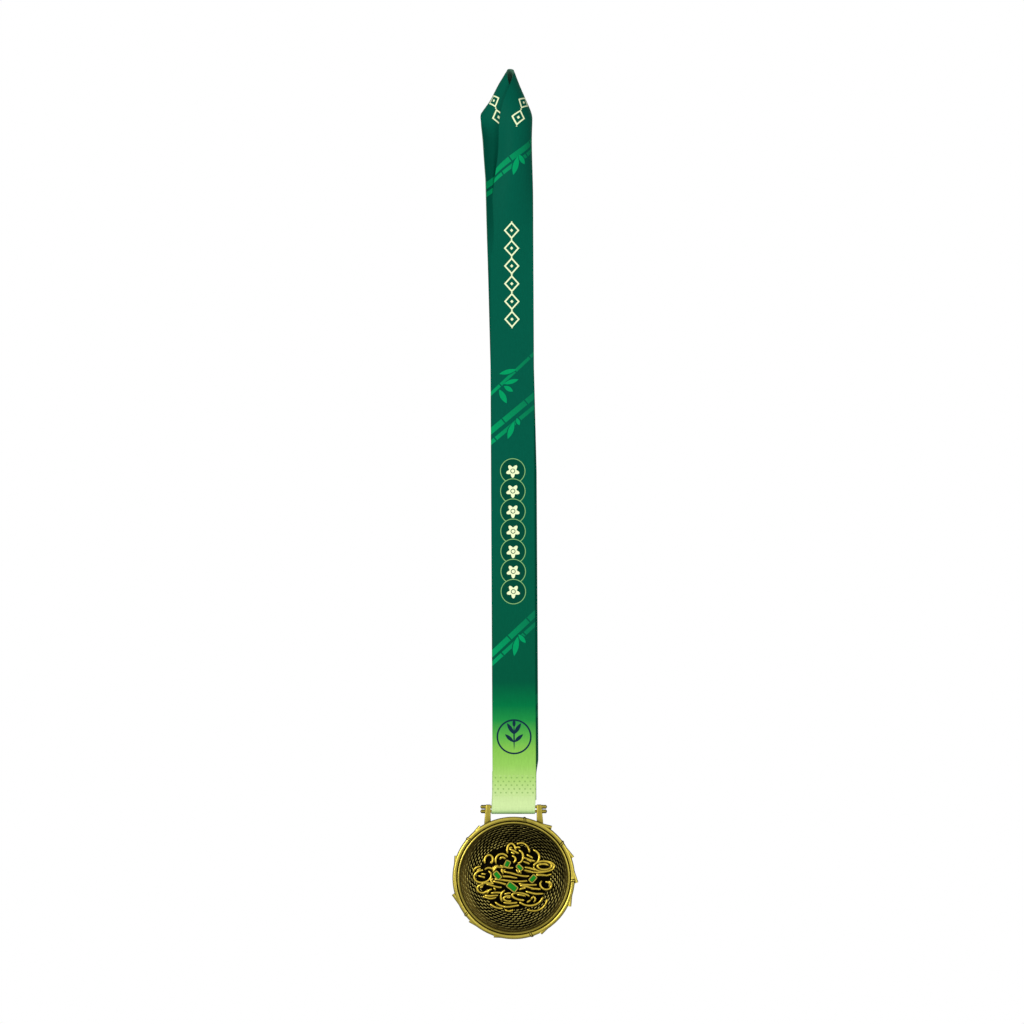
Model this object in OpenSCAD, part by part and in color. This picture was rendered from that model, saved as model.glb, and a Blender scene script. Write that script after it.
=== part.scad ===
// Hanging medal: a round cast basket of noodles below two bamboo crossbars,
// on a satin ribbon that is folded round a hook.
// Frame: origin at the hook, +Z up, the face of the medal looks along -Y.
// All sizes are millimetres and degrees.

/* [Ribbon] */
// Width of the ribbon
ribbon_w = 25; // [23:0.5:28]
// Thickness of one ribbon layer
ribbon_t = 0.6; // [0.5:0.05:0.7]
// Drop from the hook to the lower end of the folded neck
neck_drop = 62; // [58:1:70]
// Length of half a strap, from one fold line to the next
strap_half = 168; // [120:1:220]
// Length of the sewn end
sewn_l = 20.3; // [16:0.1:26]
// Length of the tail that is tucked into the sewn end
tail_l = 16.4; // [14:0.1:16.4]
// Gap between the back strap and the seam below it
seam_gap = 0.4; // [0.3:0.05:0.6]

/* [Neck fold] */
// Half angle of the cone that the ribbon makes round the hook
cone_a = 26; // [25:0.5:28]
// Distance from the point of the cone to the ribbon edge
cone_eye = 3; // [2.8:0.1:3.4]
// Lean of the cone towards the left
cone_lean = 5; // [3:0.5:6]
// Height of the point of the cone above the hook
cone_top = 4.7; // [4:0.1:6]
// Distance of the point of the cone to the left of the hook
cone_left = 1.5; // [1:0.1:2]
// Distance of the point of the cone behind the hook
cone_back = 2; // [1.5:0.1:2.5]
// Radial step that carries the right leg in front of the left leg
leg_step = 0.7; // [0.65:0.05:0.9]

/* [Strap positions] */
// Sideways place of the front strap at its top
front_top_x = -1.4; // [-2:0.1:0]
// Sideways place of the front strap at its bottom
front_low_x = 0.3; // [0:0.05:0.4]
// Sideways place of the back strap at its top
back_top_x = -3.6; // [-5:0.1:0]
// Sideways place of the back strap at its middle
back_mid_x = 0.7; // [0:0.1:2]
// Sideways place of the back strap at its bottom
back_low_x = 1.7; // [0:0.1:2]
// Sideways place of the tail
tail_x = -0.8; // [-1.5:0.1:0]

/* [Seam] */
// Stitches in one row
stitches = 9; // [5:1:11]
// Length of one stitch
stitch_l = 1.7; // [1:0.1:1.9]
// Thickness of the thread
thread_d = 0.35; // [0.25:0.05:0.5]
// Distance of the rows from the ends of the tail
row_inset = 2.6; // [2:0.1:4]

/* [Crossbars] */
// Diameter of a crossbar
bar_d = 1.7; // [1.4:0.1:1.8]
// Length of a crossbar beyond a post
bar_over = 3.2; // [2:0.2:5]
// Distance between the two crossbar axes
bar_pitch = 2.6; // [2.2:0.1:3]
// Distance from the fold line of the ribbon to the upper crossbar
fold_drop = 2.7; // [2.5:0.1:3.2]
// Distance from the sewn end to the fold line of the ribbon
fold_gap = 1.3; // [1.25:0.05:1.6]
// Radius of the ribbon loop at its fold line
fold_r = 0.6; // [0.5:0.05:0.6]
// Clearance between a crossbar and the ribbon round it
loop_fit = 0.1; // [0.05:0.05:0.2]
// Clearance between pieces of the casting
fit = 0.05; // [0.03:0.01:0.08]

/* [Posts] */
// Clearance between the ribbon loop and a post
post_clear = 0.7; // [0.4:0.1:1.5]
// Width of a post at its top
post_top_w = 2.8; // [2.2:0.1:3.4]
// Width of a post at its foot
post_foot_w = 4; // [3.4:0.1:5]
// Depth of a post
post_depth = 2.6; // [2.4:0.1:2.7]
// Height of a post above the upper crossbar
post_over = 1.3; // [1.1:0.1:2]

/* [Basket] */
// Distance from the lower crossbar to the middle of the outer hoop
rim_drop = 4.15; // [3.65:0.05:7]
// Shift of the disc to the back that brings its weight below the fold line
disc_shift = -0.3; // [-0.6:0.05:0.2]
// Distance of the basket wall inside the middle of the outer hoop
wall_in = 0.65; // [0.45:0.05:0.85]
// Radius of the flat back
back_r = 27; // [24:0.5:30]
// Depth of the basket behind the bars
back_h = 2.9; // [2.6:0.1:3.4]
// Thickness of the basket floor
floor_t = 1.2; // [1:0.1:1.4]
// Radius of the flat floor
floor_r = 23.8; // [23.6:0.1:24.2]
// Woven rows on the inside of the wall
weave_rows = 5; // [3:1:5]
// Height of a woven row
weave_h = 0.55; // [0.3:0.05:0.6]

/* [Bamboo rim] */
// Radius of the middle of the outer hoop
hoop_r = 33.85; // [33.7:0.05:35]
// Thickness of the outer hoop
hoop_d = 2.7; // [2.5:0.1:2.7]
// Thickness of the inner hoop
inner_d = 1.7; // [1.5:0.1:1.7]
// Distance of the inner hoop inside the outer hoop, between their middles
inner_in = 2.25; // [2.25:0.01:2.3]
// Height of the outer hoop in front of the bars
hoop_h = 2.75; // [2.75:0.05:3]
// Height of the inner hoop over the outer hoop
inner_over = 0.4; // [0.3:0.05:0.6]
// Length of a node band along the hoop, as an angle
band_a = 2.2; // [1.5:0.1:3]
// Thickness of a node band over the hoop
band_t = 0.4; // [0.3:0.05:0.5]
// Thickness of a cane stub
stub_d = 2.1; // [1.8:0.1:2.2]

/* [Noodle nest] */
// Width of the nest
nest_w = 46.6; // [44:0.2:47]
// Height of the nest
nest_h = 39.6; // [36:0.2:40]
// Height of the mound below the strands
mound_h = 1.5; // [1:0.1:2]
// Thickness of a strand
strand_d = 1.45; // [1.2:0.05:1.7]

/* [Scallion slices] */
// Wall round the enamel of a slice
cell_wall = 0.35; // [0.25:0.05:0.5]
// Thickness of the enamel
enamel_t = 0.6; // [0.4:0.05:0.8]
// Height of a slice over the mound
cell_h = 2.6; // [2.2:0.1:3]

/* [Hidden] */
$fn = 48;

// Heights of the fold lines, from the hook downwards
neck_z = -neck_drop;
mid_z = neck_z - strap_half;
sewn_z = mid_z - strap_half;
hem_z = sewn_z - sewn_l;
fold_z = hem_z - fold_gap;
upper_z = fold_z - fold_drop;
lower_z = upper_z - bar_pitch;
disc_z = lower_z - rim_drop - hoop_r;

// The front and back straps lie one layer to each side of the tail
layer_y = ribbon_t;
front_mid_x = (front_top_x + front_low_x) / 2;
half_w = ribbon_w / 2;
post_gap = ribbon_w + 2 * post_clear;
bar_l = post_gap + 2 * (post_top_w + bar_over);

// Ribbon that the cone takes up before the legs hang straight
neck_slack = 2;
neck_s = neck_drop + neck_slack;
// Slope of the left leg below the cone, sideways per length
leg_slope = 0.079;
// Where the two legs part in depth, and where the cone turns into flat legs
step_from = 8;
step_to = 16;
blend_from = 14;
blend_to = 48;
neck_steps = 20;
neck_across = 6;
// Crowding of the steps towards the point of the cone
neck_crowd = 1.5;
// Length over which a slope of the ribbon is measured
probe = 0.2;

// Basket profile, with heights towards the front
back_face = -back_h;
floor_h = floor_t - back_h;
inner_h = hoop_h + inner_over;
// Drop of the lip of the wall below the middle of the outer hoop
lip_drop = 0.35;
lip_h = hoop_h - lip_drop;
wall_r = hoop_r - wall_in;
inner_r = hoop_r - inner_in;
lip_r = inner_r - inner_d / 2;
hoop_out = hoop_r + hoop_d / 2;
wall_low_h = disc_shift - post_depth / 2 - fit;
wall_curve = 1.5;
wall_steps = 10;
weave_edge = 0.9;

// Node bands on the outer hoop, as angles from the right
BANDS = [139, 217, 287, 357.6, 35.5, 79];
// Cane stubs: angle of the end, reach of the end past the hoop, angle of the root
STUBS = [[123, 0.8, 139], [159, 0.9, 178], [195, 1.5, 214], [224, 0.8, 240],
         [251, 0.7, 267], [296, 0.9, 310], [333, 1.5, 347], [355.6, 1.8, 371],
         [19, 1.4, 36], [53, 1.8, 68]];
// Part of the end of a stub that its own thickness takes up
stub_in = 0.8;
stub_cut_sides = 240;
// Gap between a node band and a cane stub beside it, as an angle
band_gap_a = 0.1;

// Loops of the nest: middle, radius across, radius up, tilt, first angle, turn, shrink, lift
LOOPS = [[-1.4, 15.8, 2.4, 3.7, 0, 220, -230, 1, 0.22], [4.2, 14.4, 4.8, 5.4, 0, 125, -130, 1, 0.1],
         [1.9, 12.0, 3.5, 3.9, 0, 80, -170, 1, 0.3], [-0.8, 10.4, 1.8, 1.9, 0, 110, -200, 1, 0.25],
         [-6.8, 9.8, 3.6, 3.8, 0, 215, -195, 1, 0.22], [-14.4, 10.0, 2.3, 3.0, -15, 240, -280, 1, 0.18],
         [-17.8, 0.7, 5.0, 3.5, 12, 75, 330, 1, 0.18], [-18.6, 3.0, 4.6, 3.4, 0, 185, -95, 1, 0.26],
         [-14.4, 3.6, 2.3, 2.0, 0, 170, -140, 1, 0.3], [-8.4, 3.6, 3.4, 3.6, 0, 185, -85, 1, 0.22],
         [-17.9, -6.5, 3.1, 2.3, 0, 0, -290, 1, 0.18], [-13.2, -8.6, 4.6, 3.5, 0, 218, 100, 1, 0.22],
         [-12.2, -9.6, 3.0, 2.9, 0, 180, -90, 1, 0.26], [-3.4, -11.5, 8.2, 5.4, 0, 205, 105, 1, 0.1],
         [-7.0, -12.4, 7.6, 5.4, 0, 208, 70, 1, 0], [-2.6, -16.6, 3.0, 2.8, 0, 215, 110, 1, 0],
         [9.2, -9.8, 7.8, 6.4, 0, 218, 134, 1, 0.14], [11.4, -12.4, 7.7, 6.9, 0, 238, 125, 1, 0],
         [10.4, -12.5, 2.0, 1.9, 0, 60, -130, 1, 0.22], [4.2, -10.9, 5.2, 2.0, -10, 300, -285, 1, 0.3],
         [-2.8, -12.1, 3.0, 1.5, 0, 305, -245, 1, 0.27], [-3.6, -11.2, 3.8, 4.2, 0, 105, 120, 1, 0.2],
         [9.8, 11.6, 4.9, 4.4, 0, 78, -150, 1, 0.18], [17.2, 6.6, 5.8, 3.0, 0, 200, -460, 0.5, 0.18],
         [17.4, 5.2, 7.4, 4.0, 0, 230, 80, 1, 0.14], [18.6, -4.2, 3.5, 2.9, -15, 140, 300, 0.85, 0.18]];
// Waves of the nest: first and last place, height, slope, swell, waves, phase
WAVES = [[-6, 9.4, 2.1, -0.13, 0.5, 0.8, 60], [5.2, 12.2, 5.6, -0.24, 0.2, 0.6, 0],
         [-7.2, 2.4, 0.1, -0.09, 0.2, 0.7, 0], [-11.4, 8.4, -1.7, -0.03, 0.5, 0.8, 90],
         [-12.4, -3.6, -5.0, -0.24, 0.2, 0.6, 0], [2.6, 13.6, -2.9, -0.13, 0.4, 0.7, 200],
         [6.6, 17.8, -7.4, -0.13, 0.3, 1.0, 90], [-8.4, 0.2, 5.6, -0.12, 0.3, 0.8, 90],
         [-16.2, -6.4, -6.6, -0.16, 0.3, 0.8, 60], [-6.2, 2.4, -14.5, -0.03, 0.3, 0.6, 180]];
wave_lift = 0.3;
loop_steps = 12;
wave_steps = 8;
strand_sides = 6;
// Height of the lowest strands over the floor
strand_bed = 0.3;
// Depth by which a strand's ends sink below its run
end_dip = 1.2 * strand_d;
mound_sides = 28;
// Scallion slices: place across, place up, length, width, turn
SLICES = [[-3.7, 8.0, 3.2, 2.3, 65], [3.4, 6.0, 3.4, 1.9, -45], [-9.4, 1.4, 4.2, 2.4, -50],
          [11.0, -0.5, 3.8, 2.3, 48], [-0.9, -5.2, 5.6, 3.0, -38]];
slice_sides = 20;
// Radius of the corners of a slice
slice_round = 0.4;

brass = [0.72, 0.60, 0.22];
dark_brass = [0.30, 0.25, 0.10];
enamel_green = [0.00, 0.50, 0.12];
ribbon_green = [0.00, 0.35, 0.27];
ribbon_pale = [0.72, 0.84, 0.58];
eps = 0.01;

function smooth(a, b, x) =
    let (t = max(0, min(1, (x - a) / (b - a))))
    t * t * (3 - 2 * t);
function mix(a, b, t) = a * (1 - t) + b * t;
function polar(r, a) = [r * cos(a), r * sin(a)];
function unit(v) = v / norm(v);

// Ribbon on the cone, s along the ribbon and v across it
function cone_point(s, v) =
    let (h = cone_eye + v,
         rho = norm([s, h]),
         az = atan2(s, h) / sin(cone_a),
         r = rho * sin(cone_a) + sign(s) * leg_step * smooth(step_from, step_to, abs(s)),
         x = r * sin(az),
         z = -rho * cos(cone_a))
    [x * cos(cone_lean) + z * sin(cone_lean) - cone_left,
     r * cos(az) + cone_back,
     z * cos(cone_lean) - x * sin(cone_lean) + cone_top];
// Ribbon in the straight legs
function leg_point(s, v) =
    let (z = neck_slack - abs(s))
    s > 0
        ? [front_top_x + v - half_w, -layer_y, z]
        : [back_top_x - leg_slope * (z - neck_z) + half_w - v, layer_y, z];
function neck_point(s, v) =
    mix(cone_point(s, v), leg_point(s, v), smooth(blend_from, blend_to, abs(s)));
function neck_normal(s, v) =
    unit(cross(neck_point(s + probe, v) - neck_point(s - probe, v),
               neck_point(s, v + probe) - neck_point(s, v - probe)));
function neck_along(i) =
    let (u = i / neck_steps - 1)
    sign(u) * neck_s * pow(abs(u), neck_crowd);

// Height of the mound at a place in the nest
function mound_at(x, y) =
    floor_h + mound_h * sqrt(max(0, 1 - pow(2 * x / nest_w, 2) - pow(2 * y / nest_h, 2)));
function wall_h(r) =
    floor_h + (lip_h - floor_h) * pow((r - floor_r) / (lip_r - floor_r), wall_curve);
function weave_r(i) =
    mix(floor_r + weave_edge, lip_r - weave_edge, i / (weave_rows - 1));
function loop_path(c) =
    [for (i = [0 : loop_steps])
        let (t = i / loop_steps,
             p = mix(1, c[7], t) * polar(1, c[5] + c[6] * t),
             q = [c[2] * p.x, c[3] * p.y])
        [c[0] + cos(c[4]) * q.x - sin(c[4]) * q.y, c[1] + sin(c[4]) * q.x + cos(c[4]) * q.y]];
function wave_path(c) =
    [for (i = [0 : wave_steps])
        let (t = i / wave_steps,
             x = mix(c[0], c[1], t))
        [x, c[2] + c[3] * x + c[4] * sin(c[6] + 360 * c[5] * t)]];

// Places its children on the disc: X right, Y up, Z towards the front
module at_disc() {
    translate([0, disc_shift, disc_z])
        rotate([90, 0, 0])
            children();
}

// Flat ribbon between two heights, as a slanted strip
module strip(top_x, top_z, low_x, low_z, y) {
    translate([0, y, 0])
        rotate([90, 0, 0])
            linear_extrude(height = ribbon_t, center = true)
                polygon([[top_x - half_w, top_z], [low_x - half_w, low_z],
                         [low_x + half_w, low_z], [top_x + half_w, top_z]]);
}

// Round strand along a path that lies on the mound
module strand(path, lift) {
    last = len(path) - 1;
    rings = [for (i = [0 : last])
        let (p = path[i],
             d = unit(path[min(last, i + 1)] - path[max(0, i - 1)]),
             dip = i == 0 || i == last ? end_dip : 0,
             z = mound_at(p.x, p.y) + strand_bed + lift - dip)
        for (k = [0 : strand_sides - 1])
            let (q = polar(strand_d / 2, 360 * k / strand_sides))
            [p.x - d.y * q.x, p.y + d.x * q.x, z + q.y]];
    sides = [for (i = [0 : last - 1], k = [0 : strand_sides - 1])
        let (a = i * strand_sides + k,
             b = i * strand_sides + (k + 1) % strand_sides)
        each [[a, a + strand_sides, b], [b, a + strand_sides, b + strand_sides]]];
    start = [for (k = [0 : strand_sides - 1]) k];
    end = [for (k = [strand_sides - 1 : -1 : 0]) last * strand_sides + k];
    polyhedron(points = rings, faces = concat(sides, [start, end]));
}

// Rounded slice of the given growth over its enamel
module slice(c, grow, low, high) {
    x = c[2] / 2 - slice_round;
    y = c[3] / 2 - slice_round;
    translate([c[0], c[1], low])
        rotate(c[4])
            hull()
                for (p = [[x, y], [-x, y], [-x, -y], [x, -y]])
                    translate(p)
                        cylinder(r = slice_round + grow, h = high - low, $fn = slice_sides);
}

module hoop_section(grow) {
    translate([hoop_r, hoop_h])
        circle(r = hoop_d / 2 + grow);
}

module inner_section(grow) {
    translate([inner_r, inner_h])
        circle(r = inner_d / 2 + grow);
}

module basket_dish() {
    color(dark_brass)
        at_disc()
            rotate_extrude()
                difference() {
                    union() {
                        polygon(concat(
                            [[0, back_face], [back_r, back_face], [wall_r, wall_low_h],
                             [wall_r, lip_h]],
                            [for (i = [wall_steps : -1 : 0])
                                let (r = mix(floor_r, lip_r, i / wall_steps))
                                [r, wall_h(r)]],
                            [[0, floor_h]]));
                        for (i = [0 : weave_rows - 1])
                            translate([weave_r(i), wall_h(weave_r(i))])
                                circle(r = weave_h);
                    }
                    hoop_section(fit);
                    inner_section(fit);
                }
}

module outer_hoop() {
    color(brass)
        at_disc()
            rotate_extrude()
                hoop_section(0);
}

module inner_hoop() {
    color(brass)
        at_disc()
            rotate_extrude()
                inner_section(0);
}

module hoop_bands() {
    color(brass)
        at_disc()
            for (a = BANDS)
                rotate(a - band_a / 2)
                    rotate_extrude(angle = band_a)
                        difference() {
                            hoop_section(band_t);
                            hoop_section(fit);
                            inner_section(fit);
                            translate([0, back_face])
                                square([wall_r + fit, inner_h - back_face]);
                        }
}

module cane_stubs() {
    color(brass)
        at_disc()
            for (c = STUBS) {
                root = polar(hoop_r, c[2]);
                tip = polar(hoop_out + c[1] - stub_in, c[0]);
                run = tip - root;
                difference() {
                    translate([root.x, root.y, hoop_h])
                        rotate([0, 90, atan2(run.y, run.x)])
                            cylinder(d = stub_d, h = norm(run));
                    rotate_extrude($fn = stub_cut_sides)
                        hoop_section(fit);
                    for (a = BANDS)
                        rotate(a - band_a / 2 - band_gap_a)
                            rotate_extrude(angle = band_a + 2 * band_gap_a, $fn = stub_cut_sides)
                                hoop_section(band_t + fit);
                }
            }
}

// Post on one side, -1 left and 1 right, seated on the basket wall
module post(side) {
    inner = post_gap / 2;
    top = upper_z + post_over;
    foot = disc_z + sqrt(pow(wall_r, 2) - pow(inner + post_foot_w, 2)) - fit;
    color(brass)
        difference() {
            rotate([90, 0, 0])
                linear_extrude(height = post_depth, center = true)
                    polygon([[side * inner, foot], [side * (inner + post_foot_w), foot],
                             [side * (inner + post_top_w), top], [side * inner, top]]);
            at_disc()
                cylinder(r = wall_r + fit, h = 2 * post_depth, center = true, $fn = 180);
            crossbar(upper_z, fit);
            crossbar(lower_z, fit);
        }
}

module left_post() {
    post(-1);
}

module right_post() {
    post(1);
}

module crossbar(z, grow) {
    translate([0, 0, z])
        rotate([0, 90, 0])
            cylinder(d = bar_d + 2 * grow, h = bar_l, center = true);
}

module upper_crossbar() {
    color(brass)
        crossbar(upper_z, 0);
}

module lower_crossbar() {
    color(brass)
        crossbar(lower_z, 0);
}

module noodle_nest() {
    color(brass)
        at_disc()
            difference() {
                union() {
                    intersection() {
                        translate([0, 0, floor_h])
                            scale([nest_w / 2, nest_h / 2, mound_h])
                                sphere(r = 1, $fn = mound_sides);
                        translate([0, 0, floor_h + nest_w / 2])
                            cube(nest_w, center = true);
                    }
                    for (c = LOOPS)
                        strand(loop_path(c), c[8]);
                    for (c = WAVES)
                        strand(wave_path(c), wave_lift);
                    for (c = SLICES)
                        slice(c, cell_wall, floor_h + eps, floor_h + mound_h + cell_h);
                }
                for (c = SLICES)
                    slice(c, fit, floor_h + mound_h + cell_h - enamel_t, floor_h + 2 * mound_h + cell_h);
                translate([0, 0, floor_h - nest_w])
                    cube(2 * nest_w, center = true);
            }
}

module scallion_enamel(i) {
    color(enamel_green)
        at_disc()
            slice(SLICES[i], 0, floor_h + mound_h + cell_h - enamel_t, floor_h + mound_h + cell_h);
}

module scallion_enamel_1() {
    scallion_enamel(0);
}

module scallion_enamel_2() {
    scallion_enamel(1);
}

module scallion_enamel_3() {
    scallion_enamel(2);
}

module scallion_enamel_4() {
    scallion_enamel(3);
}

module scallion_enamel_5() {
    scallion_enamel(4);
}

// Ribbon wrapped into a cone round the hook, its right leg in front
module ribbon_neck_fold() {
    rows = 2 * neck_steps;
    cols = neck_across;
    side = (rows + 1) * (cols + 1);
    points = [for (face = [1, -1], i = [0 : rows], j = [0 : cols])
        let (s = neck_along(i),
             v = ribbon_w * j / cols)
        neck_point(s, v) + face * ribbon_t / 2 * neck_normal(s, v)];
    outer = [for (i = [0 : rows - 1], j = [0 : cols - 1])
        let (a = i * (cols + 1) + j,
             b = a + cols + 1)
        each [[a, a + 1, b], [a + 1, b + 1, b]]];
    inner = [for (f = outer) [f[0] + side, f[2] + side, f[1] + side]];
    ends = [for (j = [0 : cols - 1], e = [0, rows])
        let (a = e * (cols + 1) + j,
             b = a + 1)
        each e == 0
            ? [[a, a + side, b], [b, a + side, b + side]]
            : [[a, b, a + side], [b, b + side, a + side]]];
    edges = [for (i = [0 : rows - 1], e = [0, cols])
        let (a = i * (cols + 1) + e,
             b = a + cols + 1)
        each e == 0
            ? [[a, b, a + side], [b, b + side, a + side]]
            : [[a, a + side, b], [b, a + side, b + side]]];
    color(ribbon_green)
        polyhedron(points = points, faces = concat(outer, inner, ends, edges));
}

module ribbon_front_upper() {
    color(ribbon_green)
        strip(front_top_x, neck_z, front_mid_x, mid_z, -layer_y);
}

module ribbon_front_lower() {
    color(ribbon_green)
        strip(front_mid_x, mid_z, front_low_x, sewn_z, -layer_y);
}

module ribbon_back_upper() {
    color(ribbon_green)
        strip(back_top_x, neck_z, back_mid_x, mid_z, layer_y);
}

module ribbon_back_lower() {
    color(ribbon_green)
        strip(back_mid_x, mid_z, back_low_x, sewn_z + seam_gap, layer_y);
}

module ribbon_sewn_front() {
    color(ribbon_pale)
        strip(front_low_x, sewn_z, front_low_x, hem_z, -layer_y);
}

module ribbon_sewn_back() {
    color(ribbon_pale)
        strip(back_low_x, sewn_z, back_low_x, hem_z, layer_y);
}

module ribbon_tail() {
    color(ribbon_pale)
        strip(tail_x, hem_z + tail_l, tail_x, hem_z, 0);
}

// Teardrop of ribbon that closes round both crossbars
module ribbon_bar_loop() {
    inside = bar_d / 2 + loop_fit;
    color(ribbon_pale)
        rotate([90, 0, 90])
            linear_extrude(height = ribbon_w, center = true)
                difference() {
                    hull() {
                        translate([0, fold_z])
                            circle(r = fold_r);
                        translate([0, upper_z])
                            circle(r = inside + ribbon_t);
                        translate([0, lower_z])
                            circle(r = inside + ribbon_t);
                    }
                    hull() {
                        translate([0, upper_z])
                            circle(r = inside);
                        translate([0, lower_z])
                            circle(r = inside);
                    }
                }
}

module seam_thread() {
    pitch = ribbon_w / (stitches + 1);
    depth = 3 * ribbon_t + thread_d;
    color(ribbon_pale)
        for (z = [hem_z + row_inset, hem_z + tail_l - row_inset], i = [1 : stitches])
            translate([i * pitch - half_w, 0, z])
                cube([stitch_l, depth, thread_d], center = true);
}

basket_dish();
outer_hoop();
inner_hoop();
hoop_bands();
cane_stubs();
left_post();
right_post();
upper_crossbar();
lower_crossbar();
noodle_nest();
scallion_enamel_1();
scallion_enamel_2();
scallion_enamel_3();
scallion_enamel_4();
scallion_enamel_5();
ribbon_neck_fold();
ribbon_front_upper();
ribbon_front_lower();
ribbon_back_upper();
ribbon_back_lower();
ribbon_sewn_front();
ribbon_sewn_back();
ribbon_tail();
ribbon_bar_loop();
seam_thread();
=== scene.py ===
"""Looks of a hanging medal: a cast bamboo basket of noodles on a printed satin ribbon.

All shapes are worked out in millimetres in the row frame, and turned into metres when a piece is made.
"""

import logging
import math
from dataclasses import dataclass, field
from enum import Enum
from typing import Callable, Sequence, Union

import bmesh
import bpy
from mathutils import Matrix, Vector


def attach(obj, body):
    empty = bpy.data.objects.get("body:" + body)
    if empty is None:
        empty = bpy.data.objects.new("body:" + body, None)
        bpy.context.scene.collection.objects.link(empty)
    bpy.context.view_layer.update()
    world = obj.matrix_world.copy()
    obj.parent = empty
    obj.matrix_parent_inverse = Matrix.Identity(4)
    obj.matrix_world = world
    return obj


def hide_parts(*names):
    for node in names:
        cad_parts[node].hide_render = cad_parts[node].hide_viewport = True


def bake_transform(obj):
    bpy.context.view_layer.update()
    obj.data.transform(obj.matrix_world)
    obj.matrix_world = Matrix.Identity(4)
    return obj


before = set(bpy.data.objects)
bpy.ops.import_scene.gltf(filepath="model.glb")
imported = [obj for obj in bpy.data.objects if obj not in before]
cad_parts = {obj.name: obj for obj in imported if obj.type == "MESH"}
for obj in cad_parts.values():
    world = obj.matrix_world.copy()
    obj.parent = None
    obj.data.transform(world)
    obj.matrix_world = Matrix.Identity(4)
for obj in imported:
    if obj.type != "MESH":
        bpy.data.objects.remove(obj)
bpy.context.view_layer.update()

logging.basicConfig(level=logging.INFO, format="%(message)s")
LOG = logging.getLogger("medal")

MM = 0.001
TURN = 2 * math.pi
CHART = "print"
MERGE = 0.002

Span = tuple[float, float]
Row = tuple[float, ...]
Colour = tuple[float, float, float, float]
Surface = Callable[[float, float], Vector]
Mesh = bmesh.types.BMesh
Piece = bpy.types.Object
Material = bpy.types.Material
Group = bpy.types.NodeTree


class Body(str, Enum):
    """Bodies of the CAD frame."""

    NECK = "neck"
    FRONT_UPPER = "front_upper"
    FRONT_LOWER = "front_lower"
    BACK_UPPER = "back_upper"
    BACK_LOWER = "back_lower"
    SEWN_END = "sewn_end"
    MEDAL = "medal"


class Slot(str, Enum):
    """Material slots of the record."""

    BRASS = "antique_brass"
    DARK = "dark_brass"
    ENAMEL = "enamel"
    GREEN = "ribbon_green"
    PALE = "ribbon_pale"
    THREAD = "thread"


def srgb(red: int, green: int, blue: int) -> Colour:
    """Turns a screen colour into a scene colour.

    Args:
        red: Red from 0 to 255.
        green: Green from 0 to 255.
        blue: Blue from 0 to 255.

    Returns:
        The linear colour with full alpha.
    """
    part = [c / 255 for c in (red, green, blue)]
    line = [c / 12.92 if c <= 0.04045 else ((c + 0.055) / 1.055) ** 2.4 for c in part]
    return (*line, 1.0)


def smooth(low: float, high: float, x: float) -> float:
    """Eases from 0 at low to 1 at high.

    Args:
        low: Where the step starts.
        high: Where the step ends.
        x: The place that is asked for.

    Returns:
        A value from 0 to 1.
    """
    t = max(0.0, min(1.0, (x - low) / (high - low)))
    return t * t * (3 - 2 * t)


def mix(a: float, b: float, t: float) -> float:
    """Goes from a to b as t goes from 0 to 1."""
    return a + (b - a) * t


def polar(r: float, a: float, h: float) -> Vector:
    """Gives the point at radius r, angle a in radians and height h."""
    return Vector((r * math.cos(a), r * math.sin(a), h))


class Signal:
    """An output of a shader node, which the signs of arithmetic carry on through math nodes."""

    def __init__(self, tree: "Tree", socket: bpy.types.NodeSocket) -> None:
        """Keeps the tree and the socket."""
        self.tree, self.socket = tree, socket

    def __add__(self, other: "Value") -> "Signal":
        """Adds."""
        return self.tree.math("ADD", self, other)

    def __sub__(self, other: "Value") -> "Signal":
        """Takes the other away."""
        return self.tree.math("SUBTRACT", self, other)

    def __rsub__(self, other: float) -> "Signal":
        """Takes this away from a number."""
        return self.tree.math("SUBTRACT", other, self)

    def __mul__(self, other: "Value") -> "Signal":
        """Multiplies."""
        return self.tree.math("MULTIPLY", self, other)

    def __truediv__(self, other: "Value") -> "Signal":
        """Divides."""
        return self.tree.math("DIVIDE", self, other)

    def __abs__(self) -> "Signal":
        """Drops the sign."""
        return self.tree.math("ABSOLUTE", self)


Value = Union[float, Sequence[float], Signal]


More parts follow.
